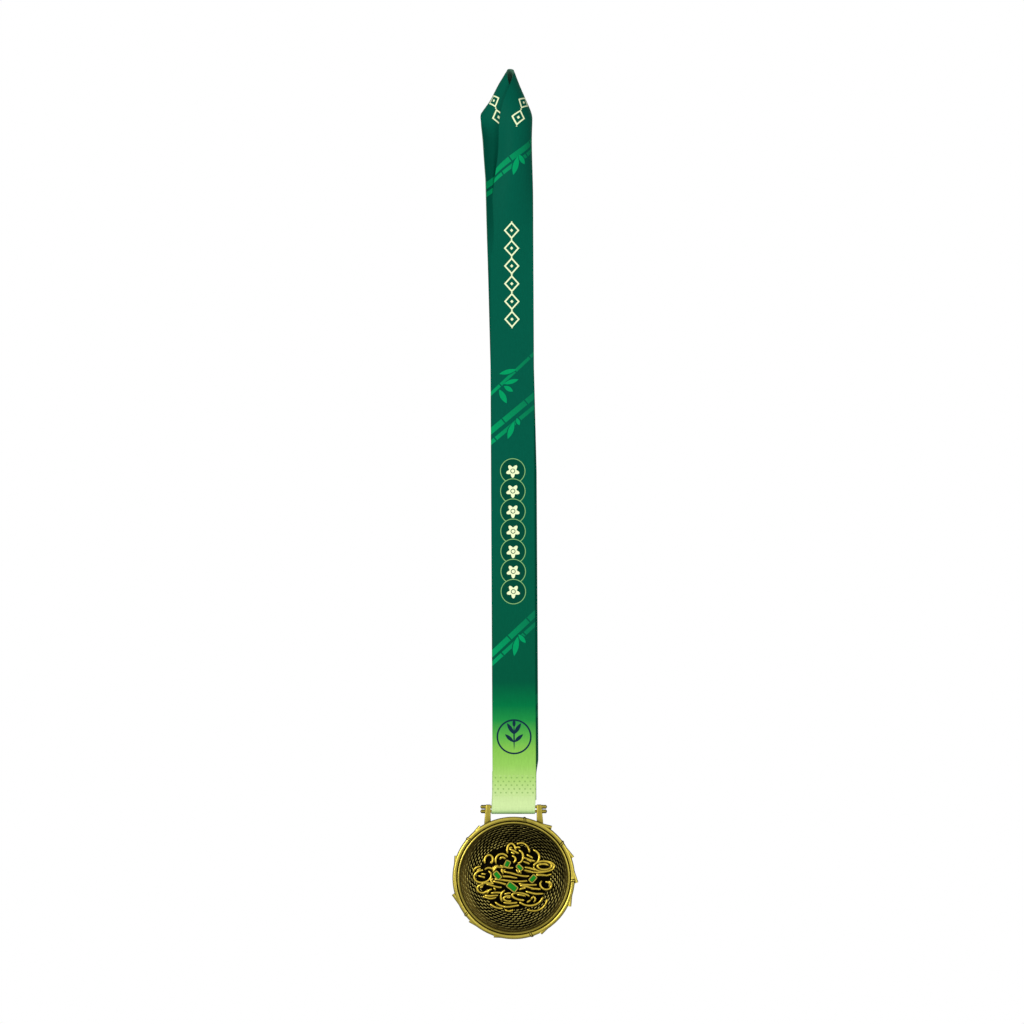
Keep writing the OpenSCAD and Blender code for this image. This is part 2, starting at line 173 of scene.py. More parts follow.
class Tree:
    """Writes the nodes of one shader tree."""

    COLUMN = 8
    PITCH = (220, -180)

    def __init__(self, tree: Group) -> None:
        """Empties the tree and starts on it."""
        self.tree = tree
        tree.nodes.clear()

    def add(self, kind: str, inputs: dict[str | int, Value], **settings: object) -> bpy.types.Node:
        """Adds one node.

        Args:
            kind: Type name of the node.
            inputs: Signals to link and values to set, by the name or number of the input.
            **settings: Properties to set on it.

        Returns:
            The new node.
        """
        node = self.tree.nodes.new(kind)
        column, row = divmod(len(self.tree.nodes), self.COLUMN)
        node.location = (self.PITCH[0] * column, self.PITCH[1] * row)
        for name, value in settings.items():
            setattr(node, name, value)
        for name, value in inputs.items():
            self.feed(node.inputs[name], value)
        return node

    def feed(self, socket: bpy.types.NodeSocket, value: Value) -> None:
        """Links or sets an input.

        Args:
            socket: The input.
            value: A signal to link, or a plain value.
        """
        if isinstance(value, Signal):
            self.tree.links.new(value.socket, socket)
        else:
            socket.default_value = value

    def first(self, kind: str, inputs: dict[str | int, Value], **settings: object) -> Signal:
        """Adds one node and gives its first output."""
        return Signal(self, self.add(kind, inputs, **settings).outputs[0])

    def math(self, operation: str, *terms: Value, clamp: bool = False) -> Signal:
        """Adds a math node."""
        return self.first("ShaderNodeMath", dict(enumerate(terms)), operation=operation, use_clamp=clamp)

    def edge(self, inside: Signal, soft: float = 9.0) -> Signal:
        """Turns millimetres inside a shape into a mask with a clean edge."""
        return self.math("MULTIPLY_ADD", inside, soft, 0.5, clamp=True)

    def between(self, place: Signal, start: Signal, end: Signal) -> Signal:
        """Masks what lies between two places."""
        return self.edge(place - start) * self.edge(end - place)

    def far(self, a: Signal, b: Signal) -> Signal:
        """Gives the length of the diagonal of a and b."""
        return self.math("SQRT", a * a + b * b)

    def ease(self, value: Signal, start: Value, end: Value, low: float = 0.0, high: float = 1.0) -> Signal:
        """Eases from low at start to high at end."""
        return self.first("ShaderNodeMapRange", {0: value, 1: start, 2: end, 3: low, 4: high},
                          interpolation_type="SMOOTHSTEP")

    def colour(self, factor: Value, low: Value, high: Value, blend: str = "MIX") -> Signal:
        """Mixes two colours.

        Args:
            factor: Share of the second colour.
            low: First colour.
            high: Second colour.
            blend: Way of mixing.

        Returns:
            The mixed colour.
        """
        node = self.add("ShaderNodeMix", {0: factor}, data_type="RGBA", blend_type=blend)
        pair = [socket for socket in node.inputs if socket.type == "RGBA"]
        for socket, value in zip(pair, (low, high)):
            self.feed(socket, value)
        return Signal(self, next(out for out in node.outputs if out.type == "RGBA"))

    def ramp(self, factor: Signal, stops: Sequence[tuple[float, Colour]]) -> Signal:
        """Adds a colour ramp.

        Args:
            factor: Place on the ramp.
            stops: Place and colour of each stop.

        Returns:
            The colour.
        """
        node = self.add("ShaderNodeValToRGB", {0: factor})
        elements = node.color_ramp.elements
        while len(elements) < len(stops):
            elements.new(0.5)
        for element, (place, shade) in zip(elements, stops):
            element.position = place
            element.color = shade
        return Signal(self, node.outputs[0])

    def noise(self, vector: Signal, scale: float, detail: float = 3.0) -> Signal:
        """Adds a noise texture."""
        return self.first("ShaderNodeTexNoise", {"Vector": vector, "Scale": scale, "Detail": detail})

    def axes(self, vector: Signal) -> list[Signal]:
        """Splits a vector into its three parts."""
        return [Signal(self, out) for out in self.add("ShaderNodeSeparateXYZ", {0: vector}).outputs]

    def bump(self, height: Signal, strength: float, distance: float) -> Signal:
        """Bends the normal by a height, of which one unit stands for a distance in metres."""
        return self.first("ShaderNodeBump", {"Strength": strength, "Distance": distance, "Height": height})

    def place(self) -> Signal:
        """Gives the place on the object."""
        return Signal(self, self.add("ShaderNodeTexCoord", {}).outputs["Object"])

    def off_middle(self, place: Signal, middle: Span, painted_light_squash: Span) -> Signal:
        """Gives the distance from a middle on the face of the disc.

        Args:
            place: Place on the object, in metres.
            middle: Middle across and up, in metres.
            painted_light_squash: Factors across and up, which shape the painted light and shade.

        Returns:
            The distance in metres.
        """
        x, _, z = self.axes(place)
        return self.far((x - middle[0]) * painted_light_squash[0], (z - middle[1]) * painted_light_squash[1])

    def use(self, group: Group, **values: Value) -> dict[str, Signal]:
        """Places a node group.

        Args:
            group: The group.
            **values: Its inputs, with underscores for spaces.

        Returns:
            Its outputs.
        """
        inputs = {name.replace("_", " "): value for name, value in values.items()}
        node = self.add("ShaderNodeGroup", inputs, node_tree=group)
        return {out.name: Signal(self, out) for out in node.outputs}

    def give(self, **values: Signal) -> Group:
        """Ends a node group with its outputs.

        Args:
            **values: Name and signal of each output.

        Returns:
            The group.
        """
        for name in values:
            self.tree.interface.new_socket(name, in_out="OUTPUT", socket_type="NodeSocketFloat")
        self.add("NodeGroupOutput", values)
        return self.tree

    def skin(self, **values: Value) -> None:
        """Ends a material with a Principled surface, whose inputs have underscores for spaces."""
        inputs = {name.replace("_", " "): value for name, value in values.items()}
        self.add("ShaderNodeOutputMaterial", {0: self.first("ShaderNodeBsdfPrincipled", inputs)})


def group(name: str, *inputs: str) -> tuple[Tree, list[Signal]]:
    """Starts a node group.

    Args:
        name: Name of the group.
        *inputs: Names of its inputs.

    Returns:
        The tree writer and the inputs as they are seen from inside.
    """
    tree = bpy.data.node_groups.new(name, "ShaderNodeTree")
    for label in inputs:
        kind = "NodeSocketVector" if label in ("Point", "Normal") else "NodeSocketFloat"
        tree.interface.new_socket(label, in_out="INPUT", socket_type=kind)
    writer = Tree(tree)
    source = writer.add("NodeGroupInput", {})
    return writer, [Signal(writer, source.outputs[label]) for label in inputs]


def paint(name: str) -> tuple[Material, Tree]:
    """Starts a material.

    Args:
        name: Name of the material.

    Returns:
        The material and the writer of its empty tree.
    """
    made = bpy.data.materials.new(name)
    made.use_nodes = True
    return made, Tree(made.node_tree)


@dataclass
class Motifs:
    """Node groups that draw the print of the ribbon, in millimetres across and along it."""

    node_flare: float = 0.22
    node_gap: float = 0.38
    petals: float = 5.0
    petal_waist: float = 0.78
    heart_share: float = 0.3
    heart_line: float = 0.22
    lozenge_line: float = 0.55
    lozenge_slope: float = 0.9
    pip: float = 0.9
    weft_pitch: float = 0.42
    warp_pitch: float = 0.3
    warp_slant: float = 9.0
    thread_h: Span = (0.5, 0.35)
    fibre_stretch: float = 0.15
    fibre_scale: float = 1.4
    selvedge: float = 0.45
    groups: dict[str, Group] = field(default_factory=dict)

    def build(self) -> "Motifs":
        """Makes every group once.

        Returns:
            This library.
        """
        makers = (self.stalk, self.leaf, self.ring, self.lozenges, self.dots, self.weave)
        self.groups = {maker.__name__: maker() for maker in makers}
        return self

    def stalk(self) -> Group:
        """Draws a slanted bamboo stalk with gaps at its nodes.

        Returns:
            The group.
        """
        t, (x, l, place, angle, half, segment, phase) = group(
            "bamboo stalk", "X", "L", "Place", "Angle", "Half", "Segment", "Phase")
        c, s = t.math("COSINE", angle), t.math("SINE", angle)
        down = l - place
        along = x * c - down * s
        across = x * s + down * c
        cell = t.math("FRACT", (along + phase) / segment)
        node = t.math("MINIMUM", cell, 1.0 - cell) * segment
        flare = (1.0 - t.math("MINIMUM", node, 1.0)) * self.node_flare
        inside = half + flare - abs(across)
        return t.give(Mask=t.edge(inside) * t.edge(node - self.node_gap), Along=along)

    def leaf(self) -> Group:
        """Draws a pointed leaf.

        Returns:
            The group.
        """
        t, (x, l, base_x, base_l, angle, length, half) = group(
            "bamboo leaf", "X", "L", "Base X", "Base L", "Angle", "Length", "Half")
        c, s = t.math("COSINE", angle), t.math("SINE", angle)
        dx, dl = x - base_x, l - base_l
        share = (dx * c + dl * s) / length
        across = dl * c - dx * s
        swell = share * (1.0 - share) * (half * 4.0)
        return t.give(Mask=t.edge(swell - abs(across)))

    def ring(self) -> Group:
        """Draws a ring, the disc in it and a blossom in its middle.

        Returns:
            The group.
        """
        t, (x, l, place, radius, line, petal) = group(
            "ring with blossom", "X", "L", "Place", "Radius", "Line", "Petal")
        down = l - place
        far = t.far(x, down)
        off = far - radius
        lobes = t.math("COSINE", t.math("ARCTAN2", x, down) * self.petals)
        reach = petal * (lobes * (1 - self.petal_waist) + self.petal_waist)
        heart = abs(far - petal * self.heart_share) - self.heart_line
        return t.give(Ring=t.edge(line - abs(off)), Disc=t.edge(off * -1.0),
                      Blossom=t.edge(reach - far) * t.edge(heart))

    def lozenges(self) -> Group:
        """Draws a row of open lozenges with a bead between them.

        Returns:
            The group.
        """
        t, (x, l, start, end, pitch, half) = group("lozenge row", "X", "L", "From", "To", "Pitch", "Half")
        cell = t.math("FRACT", (l - start) / pitch)
        down = abs(cell - 0.5) * pitch
        wide = abs(x)
        reach = wide + down * self.lozenge_slope
        outline = self.lozenge_line - abs(reach - half)
        bead = self.lozenge_line - (wide + (pitch * 0.5 - down))
        shape = t.math("MAXIMUM", t.math("MAXIMUM", outline, self.pip - reach), bead)
        return t.give(Mask=t.edge(shape) * t.between(l, start, end))

    def dots(self) -> Group:
        """Draws staggered rows of dots.

        Returns:
            The group.
        """
        t, (x, l, start, end, row, pitch, radius) = group(
            "staggered dots", "X", "L", "From", "To", "Row", "Pitch", "Radius")
        rows = (l - start) / row
        odd = t.math("FLOORED_MODULO", t.math("FLOOR", rows), 2.0) * 0.5
        dx = (t.math("FRACT", x / pitch + odd) - 0.5) * pitch
        dl = (t.math("FRACT", rows) - 0.5) * row
        return t.give(Mask=t.edge(radius - t.far(dx, dl)) * t.between(l, start, end))

    def weave(self) -> Group:
        """Gives the height of the satin threads, the firm edge and the uneven dye.

        Returns:
            The group.
        """
        t, (x, l, half) = group("satin weave", "X", "L", "Half")
        weft = t.math("SINE", l * (TURN / self.weft_pitch))
        warp = t.math("SINE", x * (TURN / self.warp_pitch) + l * self.warp_slant)
        firm = t.edge(self.selvedge - (half - abs(x)), 4.0)
        fibre = t.first("ShaderNodeCombineXYZ", {0: x, 1: l * self.fibre_stretch})
        return t.give(Height=weft * self.thread_h[0] + warp * self.thread_h[1], Selvedge=firm,
                      Tint=t.noise(fibre, self.fibre_scale))


@dataclass(frozen=True)
class RibbonPrint:
    """Dye-printed satin: dark green with bamboo, fading to pale green at the medal."""

    length: float = 440.0
    half: float = 12.5
    bamboo: Colour = srgb(0, 152, 92)
    bamboo_far: Colour = srgb(4, 110, 74)
    bamboo_fade: float = 0.028
    leaf_gap: float = 0.55
    cream: Colour = srgb(240, 250, 200)
    disc: Colour = srgb(0, 70, 52)
    line: Colour = srgb(140, 190, 120)
    navy: Colour = srgb(16, 44, 62)
    dot: Colour = srgb(112, 160, 74)
    dot_share: float = 0.6
    reverse: Colour = srgb(150, 190, 160)
    reverse_lift: float = 0.25
    dye: float = 0.22
    selvedge: float = 0.14
    roughness: float = 0.6
    specular: float = 0.03
    sheen: float = 0.008
    sheen_roughness: float = 0.4
    thread: float = 0.25
    thread_h: float = 0.00005
    # Place along the ribbon and colour there. The darker stop at 428.4, at the bottom of the loop round the
    # bars, is painted shade in the fold.
    ground: tuple[tuple[float, Colour], ...] = (
        (0.0, srgb(0, 85, 66)), (264.0, srgb(0, 86, 66)), (352.0, srgb(0, 84, 58)),
        (366.0, srgb(0, 114, 62)), (374.5, srgb(28, 140, 66)), (384.0, srgb(90, 176, 72)),
        (391.0, srgb(130, 192, 78)), (400.5, srgb(148, 202, 92)), (408.0, srgb(172, 212, 116)),
        (414.5, srgb(190, 220, 140)), (420.5, srgb(204, 228, 160)), (426.0, srgb(206, 230, 162)),
        (428.4, srgb(118, 168, 96)), (431.0, srgb(206, 230, 162)))
    # Place, angle, half width, segment and phase of each stalk.
    stalks: tuple[Row, ...] = (
        (50.2, 37.0, 1.6, 15.0, 3.4), (55.3, 37.0, 1.1, 17.2, 8.6), (175.5, 43.0, 0.9, 11.7, 9.4),
        (198.2, 39.5, 1.6, 16.9, 6.7), (204.8, 39.5, 1.1, 18.0, 12.8), (324.8, 43.0, 1.6, 15.0, 3.4),
        (330.7, 42.4, 1.1, 17.2, 8.6))
    # Base and tip, each across and along, and half width of each leaf.
    leaves: tuple[Row, ...] = (
        (1.6, 50.8, -0.4, 61.6, 1.6), (2.0, 50.0, 5.8, 55.4, 1.3), (2.5, 173.0, -7.5, 175.6, 1.3),
        (-4.8, 181.3, 3.6, 178.7, 1.2), (-4.8, 182.5, 0.4, 185.6, 1.3), (-7.5, 184.5, -3.3, 192.4, 1.6),
        (0.9, 203.0, -2.8, 212.9, 1.5), (2.4, 201.0, 4.0, 205.0, 1.1), (2.4, 326.4, 0.2, 337.6, 1.6),
        (2.8, 325.2, 6.9, 330.1, 1.25))
    # Start, end, pitch and half width of each row of lozenges.
    lozenges: tuple[Row, ...] = ((14.0, 34.4, 10.2, 3.6), (88.0, 149.2, 10.2, 3.9))
    rings: int = 7
    ring_from: float = 231.3
    ring_pitch: float = 11.55
    ring: dict[str, float] = field(default_factory=lambda: {"Radius": 7.05, "Line": 0.2, "Petal": 3.9})
    badge: dict[str, float] = field(
        default_factory=lambda: {"Place": 384.0, "Radius": 9.6, "Line": 0.48, "Petal": 0.0})
    # Base across and along, angle, length and half width of each leaf of the sprig.
    sprig: tuple[Row, ...] = (
        (0.0, 391.6, 270, 15.6, 0.42), (0.0, 382.6, 302, 7.6, 1.1), (0.0, 382.6, 238, 7.6, 1.1),
        (0.0, 387.2, 318, 7.0, 1.05), (0.0, 387.2, 222, 7.0, 1.05), (0.0, 378.6, 270, 4.6, 0.9))
    dots: dict[str, float] = field(
        default_factory=lambda: {"From": 406.4, "To": 417.2, "Row": 2.16, "Pitch": 3.1, "Radius": 0.5})

    def bamboos(self, t: Tree, m: dict[str, Group], at: dict[str, Signal], ground: Signal) -> Signal:
        """Draws the slanted bamboo stalks and their leaves.

        Args:
            t: Tree of the material.
            m: Motif groups.
            at: Place across and along the ribbon.
            ground: Colour below the print.

        Returns:
            The colour with the bamboo on it.
        """
        shade = ground
        for place, angle, half, segment, phase in self.stalks:
            part = t.use(m["stalk"], **at, Place=place, Angle=math.radians(angle), Half=half,
                         Segment=segment, Phase=phase)
            tone = t.colour(part["Along"] * self.bamboo_fade + 0.5, self.bamboo, self.bamboo_far)
            shade = t.colour(part["Mask"], shade, tone)
        for base_x, base_l, tip_x, tip_l, half in self.leaves:
            dx, dl = tip_x - base_x, tip_l - base_l
            for grow, tone in ((self.leaf_gap, ground), (0.0, self.bamboo)):
                part = t.use(m["leaf"], **at, Base_X=base_x, Base_L=base_l, Angle=math.atan2(dl, dx),
                             Length=math.hypot(dx, dl) + grow, Half=half + grow)
                shade = t.colour(part["Mask"], shade, tone)
        return shade

    def ornaments(self, t: Tree, m: dict[str, Group], at: dict[str, Signal], shade: Signal) -> Signal:
        """Draws the rings, lozenges, sprig and dots.

        Args:
            t: Tree of the material.
            m: Motif groups.
            at: Place across and along the ribbon.
            shade: Colour below the print.

        Returns:
            The colour with the ornaments on it.
        """
        for first, last, pitch, half in self.lozenges:
            part = t.use(m["lozenges"], **at, From=first, To=last, Pitch=pitch, Half=half)
            shade = t.colour(part["Mask"], shade, self.cream)
        for number in range(self.rings):
            part = t.use(m["ring"], **at, Place=self.ring_from + self.ring_pitch * number, **self.ring)
            shade = t.colour(part["Disc"], shade, self.disc)
            shade = t.colour(part["Blossom"], shade, self.cream)
            shade = t.colour(part["Ring"], shade, self.line)
        shade = t.colour(t.use(m["ring"], **at, **self.badge)["Ring"], shade, self.navy)
        for base_x, base_l, angle, length, half in self.sprig:
            part = t.use(m["leaf"], **at, Base_X=base_x, Base_L=base_l, Angle=math.radians(angle),
                         Length=length, Half=half)
            shade = t.colour(part["Mask"], shade, self.navy)
        dots = t.use(m["dots"], **at, **self.dots)
        return t.colour(dots["Mask"] * self.dot_share, shade, self.dot)

    def material(self, motifs: Motifs, reverse: bool) -> Material:
        """Makes the printed face or the paler reverse.

        Args:
            motifs: The motif library.
            reverse: True for the unprinted back of the ribbon.

        Returns:
            The material.
        """
        made, t = paint("satin_reverse" if reverse else "satin_print")
        m = motifs.groups
        x, along, _ = t.axes(t.first("ShaderNodeUVMap", {}, uv_map=CHART))
        at = {"X": x, "L": along}
        shade = t.ramp(along / self.length, [(place / self.length, c) for place, c in self.ground])
        weave = t.use(m["weave"], **at, Half=self.half)
        if reverse:
            shade = t.colour(self.reverse_lift, shade, self.reverse)
        else:
            shade = self.ornaments(t, m, at, self.bamboos(t, m, at, shade))
        worn = weave["Tint"] * self.dye + (1 - self.dye / 2)
        worn = worn - weave["Selvedge"] * self.selvedge
        t.skin(Base_Color=t.colour(1.0, shade, worn, "MULTIPLY"), Roughness=self.roughness,
               Specular_IOR_Level=self.specular, Sheen_Weight=self.sheen,
               Sheen_Roughness=self.sheen_roughness,
               Normal=t.bump(weave["Height"], self.thread, self.thread_h))
        return made


@dataclass(frozen=True)
class Patina:
    """Wear that every antique metal shares."""

    cloud_scale: float = 260.0
    cloud_share: float = 0.5
    stain_scale: float = 110.0
    stain_gain: float = 1.5
    stain_base: float = 0.3
    grain_scale: float = 2600.0
    scratch_scale: float = 900.0

    def build(self) -> Group:
        """Gives where the metal is worn bright, its fine hammer grain and its scratches.

        Returns:
            The group.
        """
        t, (point, normal, low, high) = group("antique patina", "Point", "Normal", "Low", "High")
        _, facing, _ = t.axes(normal)
        clouds = t.noise(point, self.cloud_scale) * self.cloud_share
        ridge = abs(facing) + (clouds - self.cloud_share / 2)
        stain = t.noise(point, self.stain_scale, detail=5.0) * self.stain_gain + self.stain_base
        wear = t.ease(ridge, low, high) * t.math("MINIMUM", stain, 1.0)
        return t.give(Wear=wear, Grain=t.noise(point, self.grain_scale, detail=2.0),
                      Scratch=t.noise(point, self.scratch_scale, detail=4.0))


@dataclass(frozen=True)
class AntiqueMetal:
    """Plated casting that is dark in its recesses and worn bright on top.

    Where shade is given, painted shade dims the bright metal between its two distances from the middle, so
    that it darkens towards the wall of the basket.
    """

    name: str
    bright: Colour
    dark: Colour
    low: float = 0.34
    high: float = 0.94
    roughness: float = 0.3
    # Painted shade: where shade is given, the bright metal dims between two distances from the middle,
    # which may be set off and squashed so that some sides are darker than others, as light falls.
    shade: Span | None = None
    middle: Span = (0.0, -0.4629)
    painted_light_squash: Span = (1.0, 1.0)
    painted_shade_floor: float = 0.22
    spread: float = 0.22
    grain: float = 0.25
    grain_h: float = 0.0001

    def material(self, patina: Group) -> Material:
        """Makes the material.

        Args:
            patina: The patina group.

        Returns:
            The material.
        """
        made, t = paint(self.name)
        source = t.add("ShaderNodeTexCoord", {})
        place, normal = (Signal(t, source.outputs[name]) for name in ("Object", "Normal"))
        part = t.use(patina, Point=place, Normal=normal, Low=self.low, High=self.high)
        wear_and_painted_shade = part["Wear"]
        # Painted shade: the wear is dimmed with distance from the middle.
        if self.shade:
            far = t.off_middle(place, self.middle, self.painted_light_squash)
            wear_and_painted_shade = wear_and_painted_shade * t.ease(far, *self.shade, 1.0, self.painted_shade_floor)
        scratched = part["Scratch"] * self.spread + (self.roughness - self.spread / 2)
        dull = part["Wear"] * -self.spread + self.spread
        t.skin(Base_Color=t.colour(wear_and_painted_shade, self.dark, self.bright), Metallic=1.0,
               Roughness=scratched + dull, Normal=t.bump(part["Grain"], self.grain, self.grain_h))
        return made


@dataclass(frozen=True)
class BasketGround:
    """Blackened floor of the basket, browner on the smooth wall below the rim; the brown is partly the
    wall's own tone and partly painted light, browner at the lower left and at the sides and darker at the
    top, as light falls.
    """

    # Middle and squash of the painted light on the wall.
    middle: Span = (0.0016, -0.4617)
    painted_light_squash: Span = (1.0, 0.9)
    black: Colour = srgb(9, 7, 3)
    brown_and_painted_light: Colour = srgb(100, 84, 34)
    wall: Span = (0.0265, 0.0305)
    cloud_scale: float = 500.0
    cloud_share: float = 0.6
    roughness: float = 0.42
    spread: float = 0.2
    grain_scale: float = 2200.0
    grain: float = 0.3
    grain_h: float = 0.0001

    def material(self) -> Material:
        """Makes the material.

        Returns:
            The material.
        """
        made, t = paint("basket_ground_painted_light")
        place = t.place()
        clouds = t.noise(place, self.cloud_scale)
        # Painted light: the brown grows towards the rim from a middle set off up and to the right, and
        # squashed up and down.
        wall = t.ease(t.off_middle(place, self.middle, self.painted_light_squash), *self.wall)
        share = wall * (clouds * self.cloud_share + self.cloud_share)
        t.skin(Base_Color=t.colour(share, self.black, self.brown_and_painted_light), Metallic=1.0,
               Roughness=clouds * self.spread + self.roughness,
               Normal=t.bump(t.noise(place, self.grain_scale), self.grain, self.grain_h))
        return made


@dataclass(frozen=True)
class PlainGloss:
    """Enamel or thread of one colour with a soft mottling."""

    name: str
    deep: Colour
    light: Colour
    roughness: float
    coat: float
    scale: float
    specular: float = 0.16
    coat_roughness: float = 0.08
    grain: float = 0.12
    grain_h: float = 0.0001

    def material(self) -> Material:
        """Makes the material.

        Returns:
            The material.
        """
        made, t = paint(self.name)
        clouds = t.noise(t.place(), self.scale)
        t.skin(Base_Color=t.colour(clouds, self.deep, self.light), Roughness=self.roughness,
               Specular_IOR_Level=self.specular, Coat_Weight=self.coat,
               Coat_Roughness=self.coat_roughness, Normal=t.bump(clouds, self.grain, self.grain_h))
        return made


def grid(across: int, along: int) -> Mesh:
    """Starts a flat grid that runs from 0 to 1 across and along.

    Args:
        across: Faces across the grid.
        along: Faces along the grid.

    Returns:
        The mesh.
    """
    bm = bmesh.new()
    bmesh.ops.create_grid(bm, x_segments=across, y_segments=along, size=0.5)
    bmesh.ops.translate(bm, vec=(0.5, 0.5, 0), verts=bm.verts[:])
    return bm


def chart(bm: Mesh) -> None:
    """Keeps the flat place of every corner of a grid in a UV map.

    Args:
        bm: The flat grid.
    """
    layer = bm.loops.layers.uv.new(CHART)
    for face in bm.faces:
        for loop in face.loops:
            loop[layer].uv = loop.vert.co.xy


def close(bm: Mesh) -> None:
    """Joins edges that meet and turns the faces outwards."""
    bmesh.ops.remove_doubles(bm, verts=bm.verts[:], dist=MERGE)
    bmesh.ops.recalc_face_normals(bm, faces=bm.faces[:])


def loft(across: int, along: int, surface: Surface) -> Mesh:
    """Bends a grid into a surface whose edges meet.

    Args:
        across: Faces across the grid.
        along: Faces along the grid.
        surface: Place of a point from its share across and along, in millimetres.

    Returns:
        The mesh, with its shares kept in the UV map.
    """
    bm = grid(across, along)
    chart(bm)
    for vert in bm.verts:
        vert.co = surface(vert.co.x, vert.co.y)
    close(bm)
    return bm


def slab(across: int, along: int, surface: Surface, thick: float, side: int) -> Mesh:
    """Bends a grid into a sheet of even thickness.

    Args:
        across: Faces across the grid.
        along: Faces along the grid.
        surface: Middle surface from the share across and along, in millimetres.
        thick: Thickness in millimetres.
        side: 1 or -1 for the side of the surface that is printed.

    Returns:
        The mesh, with material 0 on its printed face and 1 elsewhere.
    """
    bm = grid(across, along)
    lifted = bmesh.ops.extrude_face_region(bm, geom=bm.faces[:], use_keep_orig=True)["geom"]
    face_up = {part for part in lifted if isinstance(part, bmesh.types.BMVert)}
    chart(bm)
    for face in bm.faces:
        face.material_index = 0 if all(v in face_up for v in face.verts) else 1
    step = 0.002
    for vert in bm.verts:
        u, w = vert.co.xy
        du = surface(min(1.0, u + step), w) - surface(max(0.0, u - step), w)
        dw = surface(u, min(1.0, w + step)) - surface(u, max(0.0, w - step))
        normal = du.cross(dw).normalized() * side
        vert.co = surface(u, w) + normal * (thick / 2 if vert in face_up else -thick / 2)
    bmesh.ops.recalc_face_normals(bm, faces=bm.faces[:])
    return bm


def join(parts: Sequence[Mesh]) -> Mesh:
    """Puts several meshes into one.

    Args:
        parts: The meshes, which are used up.

    Returns:
        One mesh.
    """
    result = bmesh.new()
    for part in parts:
        copy = bpy.data.meshes.new("join")
        part.to_mesh(copy)
        part.free()
        result.from_mesh(copy)
        bpy.data.meshes.remove(copy)
    return result


def bead(halves: Row, place: Matrix) -> Mesh:
    """Makes a stretched ball.

    Args:
        halves: Half sizes along its axes.
        place: Where it goes.

    Returns:
        The mesh.
    """
    bm = bmesh.new()
    bmesh.ops.create_uvsphere(bm, u_segments=8, v_segments=6, radius=1.0)
    bmesh.ops.scale(bm, vec=halves, verts=bm.verts[:])
    bmesh.ops.transform(bm, matrix=place, verts=bm.verts[:])
    return bm


def round_off(bm: Mesh, edges: Sequence[bmesh.types.BMEdge], offset: float, segments: int) -> None:
    """Rounds edges of a mesh."""
    bmesh.ops.bevel(bm, geom=edges, offset=offset, offset_type="OFFSET", affect="EDGES",
                    segments=segments, profile=0.5, material=-1)


def top_face(bm: Mesh) -> bmesh.types.BMFace:
    """Finds the highest face of a mesh."""
    return max(bm.faces, key=lambda face: face.calc_center_median().z)


def turned(profile: Sequence[Span], sides: int) -> Mesh:
    """Turns a profile round the axis of the disc.

    Args:
        profile: Radius and height of each point.
        sides: Steps round the axis.

    Returns:
        The mesh.
    """
    bm = bmesh.new()
    line = [bm.verts.new((r, 0, h)) for r, h in profile]
    edges = [bm.edges.new(pair) for pair in zip(line, line[1:])]
    bmesh.ops.spin(bm, geom=line + edges, axis=(0, 0, 1), angle=TURN, steps=sides, use_merge=True)
    close(bm)
    return bm


def tube(path: Sequence[Vector], radius: Callable[[float], float], sides: int) -> Mesh:
    """Sweeps a round section along a path and rounds off its ends.

    Args:
        path: Points of the middle line.
        radius: Radius from the share of the path.
        sides: Sides of the section.

    Returns:
        The mesh.
    """
    last = len(path) - 1
    runs = [0.0]
    for a, b in zip(path, path[1:]):
        runs.append(runs[-1] + (b - a).length)

    def surface(u: float, w: float) -> Vector:
        """Places a point from its share round and along the tube.

        Args:
            u: Share round the section.
            w: Share along the path.

        Returns:
            The point.
        """
        k = round(w * last)
        ahead = (path[min(last, k + 1)] - path[max(0, k - 1)]).normalized()
        side = ahead.cross(Vector((0, 0, 1))).normalized()
        top = side.cross(ahead)
        r = radius(w)
        gap = min(runs[k], runs[-1] - runs[k])
        if gap < r:
            r *= math.sqrt(max(0.0, 1 - (1 - gap / r) ** 2))
        a = TURN * u
        return path[k] + side * (r * math.cos(a)) + top * (r * math.sin(a))

    return loft(sides, last, surface)


def put(name: str, data: bpy.types.ID) -> Piece:
    """Puts new data into the scene as an object.

    Args:
        name: Name of the object.
        data: Mesh, lamp or camera.

    Returns:
        The object.
    """
    made = bpy.data.objects.new(name, data)
    bpy.context.scene.collection.objects.link(made)
    return made


def publish(bm: Mesh, name: str, finishes: Sequence[Material], slot: Slot, replaced: Sequence[str] = (),
            body: Body | None = None, sharp: float = 38.0) -> Piece:
    """Turns a mesh in millimetres into a piece of the object.

    Args:
        bm: The mesh, which is used up.
        name: Name of the piece.
        finishes: Its materials.
        slot: Material slot of the record; not used.
        replaced: CAD nodes it stands for.
        body: Body it rides on, if it rides.
        sharp: Angle in degrees from which an edge stays sharp.

    Returns:
        The object.
    """
    bmesh.ops.scale(bm, vec=(MM, MM, MM), verts=bm.verts[:])
    mesh = bpy.data.meshes.new(name)
    bm.to_mesh(mesh)
    bm.free()
    mesh.shade_smooth()
    mesh.set_sharp_from_angle(angle=math.radians(sharp))
    for finish in finishes:
        mesh.materials.append(finish)
    made = put(name, mesh)
    if body is not None:
        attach(made, body.value)
    if replaced:
        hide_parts(*replaced)
    LOG.info("piece %s: %d faces", name, len(mesh.polygons))
    return made


